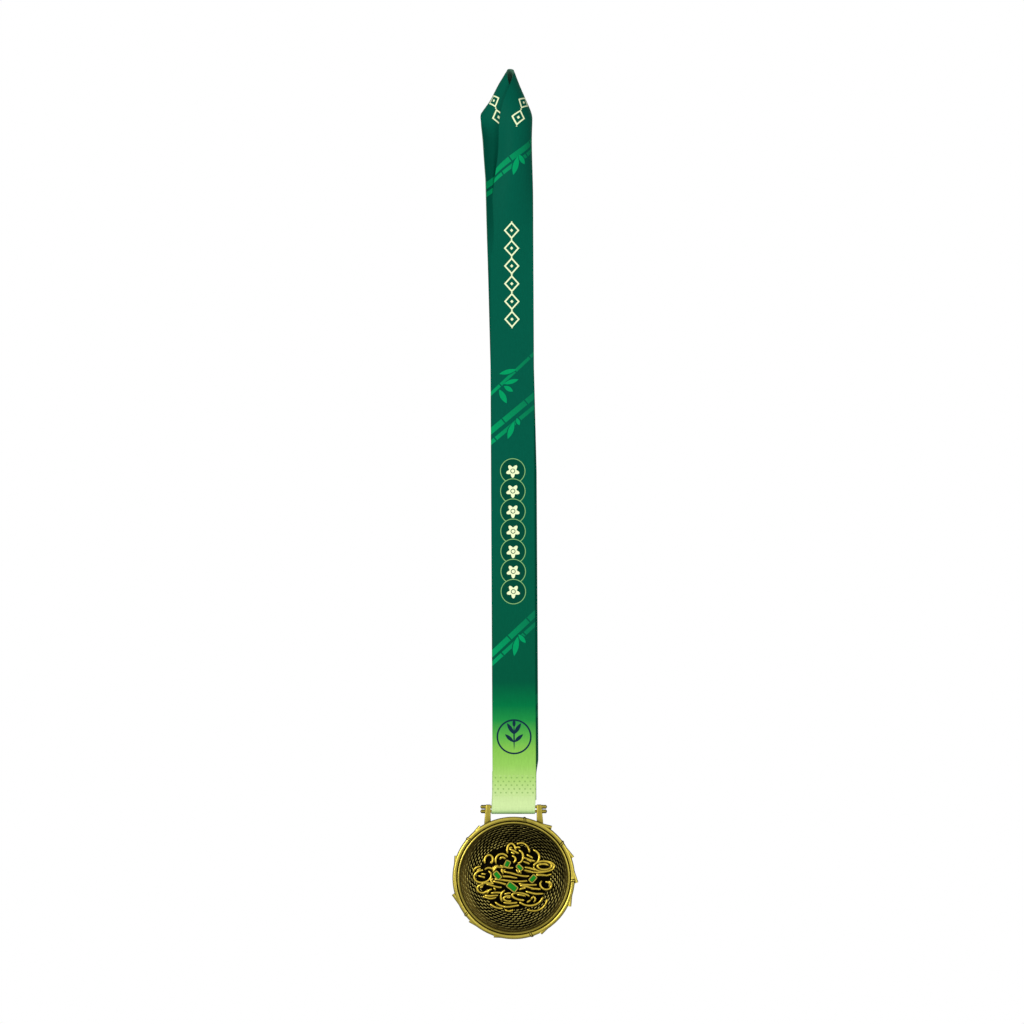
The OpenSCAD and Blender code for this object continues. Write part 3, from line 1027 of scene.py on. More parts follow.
@dataclass
class Ribbon:
    """One length of satin: a cone round the hook, two straps, and a loop round the bars.

    Places along it run from the back of the cone, positive to the front strap and negative to the back
    one. A Span named for an end or a run holds the two places between which a form eases in or out.
    """

    printed: Material
    reverse: Material
    width: float = 25.0
    thick: float = 0.5
    cells: int = 14
    # Cone round the hook.
    cone: float = math.radians(26)
    eye: float = 3.0
    lean: float = math.radians(5)
    apex: Vector = field(default_factory=lambda: Vector((-1.5, 2.0, 4.7)))
    lap: float = 0.7
    lap_run: Span = (8.0, 16.0)
    cone_end: Span = (9.0, 43.0)
    neck_give: tuple[Span, Span] = ((8.0, 2.9), (15.0, 6.0))
    give_end: Span = (40.0, 75.0)
    # Heights of the folds and of the bars.
    slack: float = 2.0
    neck_z: float = -62.0
    mid_z: float = -230.0
    sewn_z: float = -398.0
    tail_top: float = -401.9
    hem_z: float = -418.3
    fold_z: float = -419.6
    upper_z: float = -422.3
    lower_z: float = -424.9
    # Straps.
    layer: float = 0.6
    ripple: float = 0.1
    ripple_rate: float = 0.07
    calm: float = 30.0
    front_x: Span = (-1.4, 0.3)
    trough: float = 1.2
    trough_end: Span = (40.0, 110.0)
    trough_slip: float = 0.2
    flat_below: float = 0.01
    flare: Span = (2.2, 6.0)
    back_x: tuple[float, float, float] = (-3.6, 0.7, 1.7)
    back_lean: float = 0.079
    seam_x: float = 0.5
    seam_gap: float = 0.05
    seam_run: Span = (4.0, -6.0)
    curl: float = 5.5
    curl_from: float = 1.2
    curl_run: Span = (22.0, 42.0)
    curl_end: Span = (80.0, 125.0)
    # Loop round the bars.
    loop_r: float = 1.25
    loop_rub: float = 0.06
    turn_steps: int = 12
    pinch: tuple[float, float, float] = (0.52, 0.4, 0.75)
    tail_pinch: float = 0.16
    above_hem: float = 1.4
    below_fold: float = 1.3
    wrap_x: float = -0.3
    wrap_run: Span = (0.1, 0.45)
    tail_x: float = 0.1
    tail_run: Span = (0.5, 0.75)
    loop_path: list[tuple[float, float, float]] = field(default_factory=list)
    # Print of the back strap, which lies later on the ribbon.
    print_shift: float = 45.0
    shift_run: Span = (250.0, 390.0)
    back_slip: float = 8.2
    slip_run: Span = (36.0, 54.0)
    # Places where the ribbon is cut into pieces, and heights that are handed to bend with each piece.
    cuts: tuple[float, ...] = (34, 148, 316, 410)
    neck_bend: Span = (-38, -86)
    mid_bend: Span = (-214, -246)
    seam_bend: Span = (-390, -405)
    bar_bend: float = 2.0

    def cone_point(self, s: float, v: float) -> Vector:
        """Places the ribbon on the cone round the hook.

        Args:
            s: Place along the ribbon.
            v: Place across the ribbon from its upper edge.

        Returns:
            The point.
        """
        h = self.eye + v
        rho = math.hypot(s, h)
        az = math.atan2(s, h) / math.sin(self.cone)
        side = (s > 0) - (s < 0)
        r = rho * math.sin(self.cone) + side * self.lap * smooth(*self.lap_run, abs(s))
        x, z = r * math.sin(az), -rho * math.cos(self.cone)
        c, n = math.cos(self.lean), math.sin(self.lean)
        return Vector((x * c + z * n, r * math.cos(az), z * c - x * n)) + self.apex

    def front_place(self, s: float, v: float, z: float) -> Span:
        """Places the front strap, which is rolled below the neck.

        Args:
            s: Place along the ribbon.
            v: Place across the ribbon.
            z: Height.

        Returns:
            Place to the right and back.
        """
        share = (z - self.neck_z) / (self.sewn_z - self.neck_z)
        x = mix(*self.front_x, max(0.0, min(1.0, share)))
        bent = self.trough * (1 - smooth(*self.trough_end, s))
        if bent < self.flat_below:
            return x + v - self.width / 2, -self.layer
        r = self.width / (2 * bent)
        a = (v - self.width / 2) / r
        middle = x + self.width / 2 - self.trough_slip * bent - r * math.sin(bent)
        sag = r * (math.cos(a) - math.cos(bent))
        raised = self.flare[0] * bent / self.trough * max(0.0, 1 - v / self.flare[1]) ** 2
        return middle + r * math.sin(a), -self.layer - sag - raised

    def back_place(self, s: float, v: float, z: float) -> Span:
        """Places the back strap, one edge of which is curled forward below the neck.

        Args:
            s: Place along the ribbon.
            v: Place across the ribbon.
            z: Height.

        Returns:
            Place to the right and back.
        """
        top, mid, low = self.back_x
        if z > self.neck_z:
            x = top - self.back_lean * (z - self.neck_z)
        elif z > self.mid_z:
            x = mix(top, mid, (z - self.neck_z) / (self.mid_z - self.neck_z))
        else:
            x = mix(mid, low, min(1.0, (z - self.mid_z) / (self.sewn_z - self.mid_z)))
            x = mix(x, self.seam_x, smooth(*self.seam_run, z - self.sewn_z))
        near = smooth(*self.curl_run, -s) * (1 - smooth(*self.curl_end, -s))
        out = max(0.0, 2 * v / self.width - self.curl_from) / (2 - self.curl_from)
        return x + self.width / 2 - v, self.layer - self.curl * near * out ** 2

    def point(self, s: float, v: float) -> Vector:
        """Places the ribbon between the hook and the seam.

        Args:
            s: Place along the ribbon.
            v: Place across the ribbon.

        Returns:
            The point.
        """
        z = self.slack - abs(s)
        x, y = self.front_place(s, v, z) if s > 0 else self.back_place(s, v, z)
        loose = smooth(0.0, self.calm, self.neck_z - z) * smooth(0.0, self.calm, z - self.sewn_z)
        place = Vector((x, y + self.ripple * math.sin(self.ripple_rate * z) * loose, z))
        hung = smooth(*self.cone_end, abs(s))
        if hung < 1:
            place = self.cone_point(s, v).lerp(place, hung)
        held = 1 - smooth(*self.give_end, abs(s))
        for side, (from_x, give) in zip((1, -1), self.neck_give):
            over = max(0.0, side * place.x - from_x)
            place.x -= side * held * (over - give * math.tanh(over / give))
        return place

    def trace_loop(self) -> float:
        """Traces the loop round the bars, from the front layer to the tail.

        Returns:
            The length of the loop piece.
        """
        r, rub = self.loop_r, self.loop_r - self.loop_rub
        hem, fold, below = self.pinch
        under = [polar(r, math.pi * (1 + k / self.turn_steps), 0) for k in range(self.turn_steps + 1)]
        turn = [(p.x, self.lower_z + p.y) for p in under]
        rough = [(-self.layer, self.slack - self.cuts[-1]), (-self.layer, self.hem_z + self.above_hem),
                 (-hem, self.hem_z), (-fold, self.fold_z), (-below, self.fold_z - self.below_fold),
                 (-rub, self.upper_z), *turn, (rub, self.upper_z), (below, self.fold_z - self.below_fold),
                 (fold, self.fold_z), (self.tail_pinch, self.hem_z), (0.0, self.hem_z + self.above_hem),
                 (0.0, self.tail_top)]
        length, self.loop_path = 0.0, [(0.0, *rough[0])]
        for start, end in zip(rough, rough[1:]):
            length += math.dist(start, end)
            self.loop_path.append((length, *end))
        return length

    def loop_point(self, run: float, v: float) -> Vector:
        """Places the ribbon on the loop round the bars.

        Args:
            run: Length from the start of the loop piece.
            v: Place across the ribbon.

        Returns:
            The point.
        """
        last = self.loop_path[-1][0]
        x = mix(self.front_x[1], self.wrap_x, smooth(*self.wrap_run, run / last))
        x = mix(x, self.tail_x, smooth(*self.tail_run, run / last))
        legs = zip(self.loop_path, self.loop_path[1:])
        (d0, y0, z0), (d1, y1, z1) = next(leg for leg in legs if run <= leg[1][0] or leg[1][0] == last)
        t = min(1.0, (run - d0) / (d1 - d0))
        return Vector((x + v - self.width / 2, mix(y0, y1, t), mix(z0, z1, t)))

    def strip(self, name: str, first: float, last: float, steps: int, nodes: Sequence[str],
              slot: Slot = Slot.GREEN) -> Piece:
        """Makes the ribbon between two places.

        Args:
            name: Name of the piece.
            first: Place along the ribbon where it starts.
            last: Place along the ribbon where it ends.
            steps: Faces along it.
            nodes: CAD nodes it stands for.
            slot: Material slot.

        Returns:
            The piece.
        """
        def surface(u: float, w: float) -> Vector:
            """Places a point from its share across and along the strip."""
            return self.point(mix(first, last, w), u * self.width)

        bm = slab(self.cells, steps, surface, self.thick, -1 if last > first else 1)
        return self.finish(bm, name, nodes, slot, first, last)

    def finish(self, bm: Mesh, name: str, nodes: Sequence[str], slot: Slot, first: float,
               last: float) -> Piece:
        """Args:
            bm: The strip.
            name: Name of the piece.
            nodes: CAD nodes it stands for.
            slot: Material slot.
            first: Place along the ribbon where it starts.
            last: Place along the ribbon where it ends.

        Returns:
            The piece.
        """
        layer = bm.loops.layers.uv[CHART]
        for face in bm.faces:
            for loop in face.loops:
                u, w = loop[layer].uv
                x, s = (u - 0.5) * self.width, mix(first, last, w)
                if s < 0:
                    late = self.print_shift * smooth(*self.shift_run, -s)
                    late += self.back_slip * smooth(*self.slip_run, -s)
                    x, s = -x, -s - late
                loop[layer].uv = (x, s)
        made = publish(bm, name, [self.printed, self.reverse], slot, nodes, sharp=50)
        abs(last - first) * MM
        return made

    @staticmethod
    def bend(piece: Piece, upper: Body, lower: Body, top: float, low: float) -> None:
        """Bakes the place of a piece into its mesh."""
        top * MM
        low * MM
        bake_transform(piece)

    def build(self) -> None:
        """Makes every piece of the ribbon and ties the neck, the low back and the seam to their bodies."""
        neck, top, middle, low = self.cuts
        fold = self.strip("ribbon_neck", -neck, neck, 84, ["ribbon_neck_fold"])
        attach(fold, Body.NECK.value)
        runs = [("ribbon_front_top", neck, top, 62, "ribbon_front_upper", Body.NECK, Body.FRONT_UPPER,
                 self.neck_bend),
                ("ribbon_front_middle", top, middle, 70, "ribbon_front_lower", Body.FRONT_UPPER,
                 Body.FRONT_LOWER, self.mid_bend),
                ("ribbon_front_low", middle, low, 50, "ribbon_sewn_front", Body.FRONT_LOWER, Body.SEWN_END,
                 self.seam_bend),
                ("ribbon_back_top", -neck, -top, 62, "ribbon_back_upper", Body.NECK, Body.BACK_UPPER,
                 self.neck_bend),
                ("ribbon_back_middle", -top, -middle, 70, "ribbon_back_lower", Body.BACK_UPPER,
                 Body.BACK_LOWER, self.mid_bend)]
        for name, first, last, steps, node, upper, lower, heights in runs:
            self.bend(self.strip(name, first, last, steps, [node]), upper, lower, *heights)
        sewn = self.slack - self.sewn_z
        back = self.strip("ribbon_back_low", -middle, -sewn + self.seam_gap, 34, [])
        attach(back, Body.BACK_LOWER.value)
        seam = self.strip("ribbon_back_seam", -sewn, self.hem_z - self.slack, 10, ["ribbon_sewn_back"],
                          Slot.PALE)
        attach(seam, Body.SEWN_END.value)
        length = self.trace_loop()

        def surface(u: float, w: float) -> Vector:
            """Places a point from its share across and along the loop."""
            return self.loop_point(w * length, u * self.width)

        bm = slab(self.cells, 110, surface, self.thick, -1)
        loop = self.finish(bm, "ribbon_bar_wrap", ["ribbon_bar_loop", "ribbon_tail"], Slot.PALE, low,
                           low + length)
        self.bend(loop, Body.SEWN_END, Body.MEDAL, self.fold_z + self.bar_bend, self.fold_z - self.bar_bend)


@dataclass
class Seam:
    """Rows of stitches through the sewn end."""

    thread: Material
    hem_z: float = -418.3
    tail: float = 16.4
    inset: float = 2.6
    count: int = 9
    width: float = 25.0
    reach: float = 0.9
    stitch: Row = (0.85, 0.16, 0.16)

    def build(self) -> None:
        """Makes the stitches on both faces."""
        parts = []
        pitch = self.width / (self.count + 1)
        for z in (self.hem_z + self.inset, self.hem_z + self.tail - self.inset):
            for number in range(1, self.count + 1):
                for y in (-self.reach, self.reach):
                    place = Matrix.Translation((number * pitch - self.width / 2, y, z))
                    parts.append(bead(self.stitch, place))
        publish(join(parts), "seam_stitches", [self.thread], Slot.THREAD, ["seam_thread"], Body.SEWN_END)


@dataclass
class Disc:
    """Place of the disc in the row frame, shared by everything on it."""

    middle_y: float = -0.3
    middle_z: float = -462.9

    def publish(self, bm: Mesh, name: str, finishes: Sequence[Material], slot: Slot,
                replaced: Sequence[str] = (), sharp: float = 38.0) -> Piece:
        """Places a mesh on the disc and makes it ride with the medal.

        Args:
            bm: The mesh, with its front up.
            name: Name of the piece.
            finishes: Its materials.
            slot: Material slot.
            replaced: CAD nodes it stands for.
            sharp: Angle from which an edge stays sharp.

        Returns:
            The piece.
        """
        place = Matrix(((1, 0, 0, 0), (0, 0, -1, self.middle_y), (0, 1, 0, self.middle_z), (0, 0, 0, 1)))
        bmesh.ops.transform(bm, matrix=place, verts=bm.verts[:])
        return publish(bm, name, finishes, slot, replaced, Body.MEDAL, sharp)


@dataclass
class Basket:
    """Dished floor and wall of the casting, with the weave on its inside."""

    disc: Disc
    ground: Material
    strand: Material
    metal: Material
    floor_h: float = -1.7
    floor_r: float = 23.8
    lip_r: float = 30.75
    lip_h: float = 2.4
    flank: float = 1.5
    inside: tuple[float, ...] = (0.0, 12.0, 20.0)
    wall_steps: int = 14
    # Radius and height of the outside, from the lip to the shallow recess of the back.
    outside: tuple[Span, ...] = (
        (31.4, 2.3), (32.5, 1.9), (33.1, 1.5), (33.2, 1.3), (33.2, -1.5), (33.0, -1.75), (27.5, -2.82),
        (27.0, -2.9), (25.6, -2.9), (25.3, -2.68), (0.0, -2.68))
    sides: int = 128
    rows: int = 18
    first_row: float = 30.26
    row_pitch: float = 1.26
    grains: int = 50
    grain_w: float = 0.43
    grain_h: float = 0.42
    grain_lap: float = 1.12
    grain_turn: float = 0.16
    slope_step: float = 0.3
    clear: Span = (20.4, 18.4)

    def wall(self, r: float) -> float:
        """Gives the height of the floor or wall.

        Args:
            r: Radius.

        Returns:
            The height.
        """
        share = max(0.0, (r - self.floor_r) / (self.lip_r - self.floor_r))
        return self.floor_h + (self.lip_h - self.floor_h) * share ** self.flank

    def shell(self) -> None:
        """Makes the floor, wall and plain back."""
        steps = [mix(self.floor_r, self.lip_r, k / self.wall_steps) for k in range(self.wall_steps + 1)]
        inside = [(r, self.wall(r)) for r in (*self.inside, *steps)]
        bm = turned([*inside, *self.outside], self.sides)
        for face in bm.faces:
            within = face.calc_center_median().xy.length < self.lip_r
            face.material_index = 0 if face.normal.z > 0 and within else 1
        self.disc.publish(bm, "basket_shell", [self.ground, self.metal], Slot.DARK, ["basket_dish"])

    def weave(self) -> None:
        """Makes the rice-grain strands of the weave, staggered from row to row."""
        parts = []
        for row in range(self.rows):
            r = self.first_row - self.row_pitch * row
            rise = self.wall(r + self.slope_step) - self.wall(r - self.slope_step)
            slope = math.atan2(rise, 2 * self.slope_step)
            halves = (self.grain_w, math.pi * r / self.grains * self.grain_lap, self.grain_h)
            laid = Matrix.Translation((r, 0, self.wall(r))) @ Matrix.Rotation(-slope, 4, "Y") \
                @ Matrix.Rotation(self.grain_turn, 4, "Z")
            for number in range(self.grains):
                a = TURN * (number + 0.5 * (row % 2)) / self.grains
                if math.hypot(r * math.cos(a) / self.clear[0], r * math.sin(a) / self.clear[1]) >= 1:
                    parts.append(bead(halves, Matrix.Rotation(a, 4, "Z") @ laid))
        self.disc.publish(join(parts), "basket_weave", [self.strand], Slot.DARK)

    def build(self) -> None:
        """Makes the basket."""
        self.shell()
        self.weave()


@dataclass
class Rim:
    """Bamboo hoops round the basket, with node bands and cut cane stubs."""

    disc: Disc
    metal: Material
    lip: Material
    shade: Material
    hoop_r: float = 33.85
    hoop_h: float = 2.75
    hoop_half: float = 1.35
    hoop_slim: float = 0.04
    hoop_faces: tuple[int, int] = (20, 300)
    inner_r: float = 31.6
    inner_h: float = 3.15
    inner_half: float = 0.85
    node_swell: float = 0.07
    node_run: float = 3.2
    wave: float = 0.035
    waves: int = 7
    # Angles of the bands in degrees, and their width, slant, sink, rise, roundness and bright middle.
    bands: tuple[float, ...] = (139, 217, 287, 357.6, 35.5, 79)
    band_a: float = 2.8
    band_slant: float = 0.7
    band_sink: float = 0.12
    band_rise: float = 0.52
    band_power: int = 4
    band_bright: float = 0.16
    band_faces: tuple[int, int] = (24, 12)
    # Angle and reach of the end, and angle of the root of each stub.
    stubs: tuple[Row, ...] = (
        (123, 36.0, 139), (159, 36.1, 178), (195, 36.7, 214), (224, 36.0, 240), (251, 35.9, 267),
        (296, 36.1, 310), (333, 36.7, 347), (355.6, 37.0, 371), (19, 36.6, 36), (53, 37.0, 68))
    stub_back: float = 0.8
    stub_half: Span = (0.9, 1.06)
    stub_wall: float = 0.3
    stub_bore: float = 0.28
    stub_sides: int = 20

    def swell(self, angle: float) -> float:
        """Gives how much the cane swells near a node.

        Args:
            angle: Angle on the hoop in degrees.

        Returns:
            Growth of its radius.
        """
        gap = min(abs((angle - b + 180) % 360 - 180) for b in self.bands)
        knob = self.node_swell * math.exp(-(gap / self.node_run) ** 2)
        return knob + self.wave * math.sin(math.radians(self.waves * angle))

    def hoop(self, radius: float, height: float, half: Callable[[float], float]) -> Mesh:
        """Makes one hoop.

        Args:
            radius: Radius of its middle line.
            height: Height of its middle line.
            half: Radius of its section from the angle in degrees.

        Returns:
            The mesh.
        """
        def surface(u: float, w: float) -> Vector:
            """Places a point from its share round the section and round the hoop.

            Args:
                u: Share round the section.
                w: Share round the hoop.

            Returns:
                The point.
            """
            a, b = TURN * w, TURN * u
            h = half(math.degrees(a))
            return polar(radius + h * math.cos(b), a, height + h * math.sin(b))

        return loft(*self.hoop_faces, surface)

    def band(self, angle: float) -> Mesh:
        """Makes the raised band at one node.

        Args:
            angle: Its angle in degrees.

        Returns:
            The mesh.
        """
        def surface(u: float, w: float) -> Vector:
            """Places a point from its share round and along the band.

            Args:
                u: Share round the section.
                w: Share along the band.

            Returns:
                The point.
            """
            b = TURN * u
            a = math.radians(angle + (w - 0.5) * self.band_a + self.band_slant * math.cos(b))
            h = self.hoop_half - self.band_sink + self.band_rise * (1 - abs(2 * w - 1) ** self.band_power)
            return polar(self.hoop_r + h * math.cos(b), a, self.hoop_h + h * math.sin(b))

        bm = loft(*self.band_faces, surface)
        layer = bm.loops.layers.uv[CHART]
        for face in bm.faces:
            share = sum(loop[layer].uv.y for loop in face.loops) / len(face.loops)
            face.material_index = 1 if abs(share - 0.5) > self.band_bright else 0
        bmesh.ops.holes_fill(bm, edges=bm.edges[:], sides=0)
        bmesh.ops.recalc_face_normals(bm, faces=bm.faces[:])
        return bm

    def stub(self, end: float, reach: float, root: float) -> Mesh:
        """Makes one cut cane end that leaves the hoop.

        Args:
            end: Angle of its end in degrees.
            reach: Radius of its end.
            root: Angle of its root in degrees.

        Returns:
            The mesh.
        """
        start = polar(self.hoop_r, math.radians(root), self.hoop_h)
        run = polar(reach - self.stub_back, math.radians(end), self.hoop_h) - start
        bm = bmesh.new()
        bmesh.ops.create_cone(bm, cap_ends=True, segments=self.stub_sides, radius1=self.stub_half[0],
                              radius2=self.stub_half[1], depth=run.length)
        cap = top_face(bm)
        bmesh.ops.inset_region(bm, faces=[cap], thickness=self.stub_wall)
        bmesh.ops.translate(bm, vec=(0, 0, -self.stub_bore), verts=cap.verts[:])
        cap.material_index = 1
        place = Matrix.Translation(start) @ run.to_track_quat("Z", "Y").to_matrix().to_4x4() \
            @ Matrix.Translation((0, 0, run.length / 2))
        bmesh.ops.transform(bm, matrix=place, verts=bm.verts[:])
        return bm

    def build(self) -> None:
        """Makes the rim."""
        slim = self.hoop_half - self.hoop_slim
        outer = self.hoop(self.hoop_r, self.hoop_h, lambda a: slim + self.swell(a))
        inner = self.hoop(self.inner_r, self.inner_h, lambda a: self.inner_half)
        bands = join([self.band(angle) for angle in self.bands])
        stubs = join([self.stub(*row) for row in self.stubs])
        rows = [(outer, "rim_outer_hoop", [self.metal], "outer_hoop"),
                (inner, "rim_inner_hoop", [self.lip], "inner_hoop"),
                (bands, "rim_node_bands", [self.metal, self.shade], "hoop_bands"),
                (stubs, "rim_cane_stubs", [self.metal, self.shade], "cane_stubs")]
        for bm, name, finishes, node in rows:
            self.disc.publish(bm, name, finishes, Slot.BRASS, [node])


@dataclass
class Hanger:
    """Two posts and the two crossbars that the ribbon goes round."""

    metal: Material
    inner: float = 13.2
    top_w: float = 2.8
    foot_w: float = 4.0
    depth: float = 2.6
    foot_z: float = -434.2
    top_z: float = -421.0
    round_r: float = 0.42
    bars: tuple[tuple[str, str, float], ...] = (("bar_upper", "upper_crossbar", -422.3),
                                                ("bar_lower", "lower_crossbar", -424.9))
    bar_half: float = 0.85
    bar_l: float = 38.4
    bar_steps: int = 120
    bar_sides: int = 16
    end_grow: float = 0.26
    end_run: Span = (15.2, 16.0)
    nodes: Span = (16.6, 18.4)
    node_grow: float = 0.08
    node_run: float = 0.25

    def post(self, side: int) -> Mesh:
        """Makes one tapered post.

        Args:
            side: -1 for the left and 1 for the right.

        Returns:
            The mesh.
        """
        bm = bmesh.new()
        bmesh.ops.create_cube(bm, size=1.0)
        for vert in bm.verts:
            high, out = vert.co.z > 0, vert.co.x > 0
            width = self.top_w if high else self.foot_w
            vert.co = Vector((self.inner + (width if out else 0.0), vert.co.y * self.depth,
                              self.top_z if high else self.foot_z))
        round_off(bm, bm.edges[:], self.round_r, 3)
        if side < 0:
            bmesh.ops.scale(bm, vec=(-1, 1, 1), verts=bm.verts[:])
            bmesh.ops.reverse_faces(bm, faces=bm.faces[:])
        return bm

    def bar(self, z: float) -> Mesh:
        """Makes one bamboo crossbar.

        Args:
            z: Height of its axis.

        Returns:
            The mesh.
        """
        half = self.bar_l / 2
        path = [Vector((mix(-half, half, k / self.bar_steps), 0, z)) for k in range(self.bar_steps + 1)]

        def radius(w: float) -> float:
            """Gives the radius, which grows at the ends and swells at the nodes.

            Args:
                w: Share along the bar.

            Returns:
                The radius.
            """
            out = abs(w - 0.5) * self.bar_l
            gap = min(abs(out - node) for node in self.nodes)
            knob = self.node_grow * math.exp(-(gap / self.node_run) ** 2)
            return self.bar_half + self.end_grow * smooth(*self.end_run, out) + knob

        return tube(path, radius, self.bar_sides)

    def build(self) -> None:
        """Makes the hanger."""
        rows = [(self.post(-1), "hanger_left_post", "left_post"),
                (self.post(1), "hanger_right_post", "right_post")]
        rows += [(self.bar(z), name, node) for name, node, z in self.bars]
        for bm, name, node in rows:
            publish(bm, name, [self.metal], Slot.BRASS, [node], Body.MEDAL)


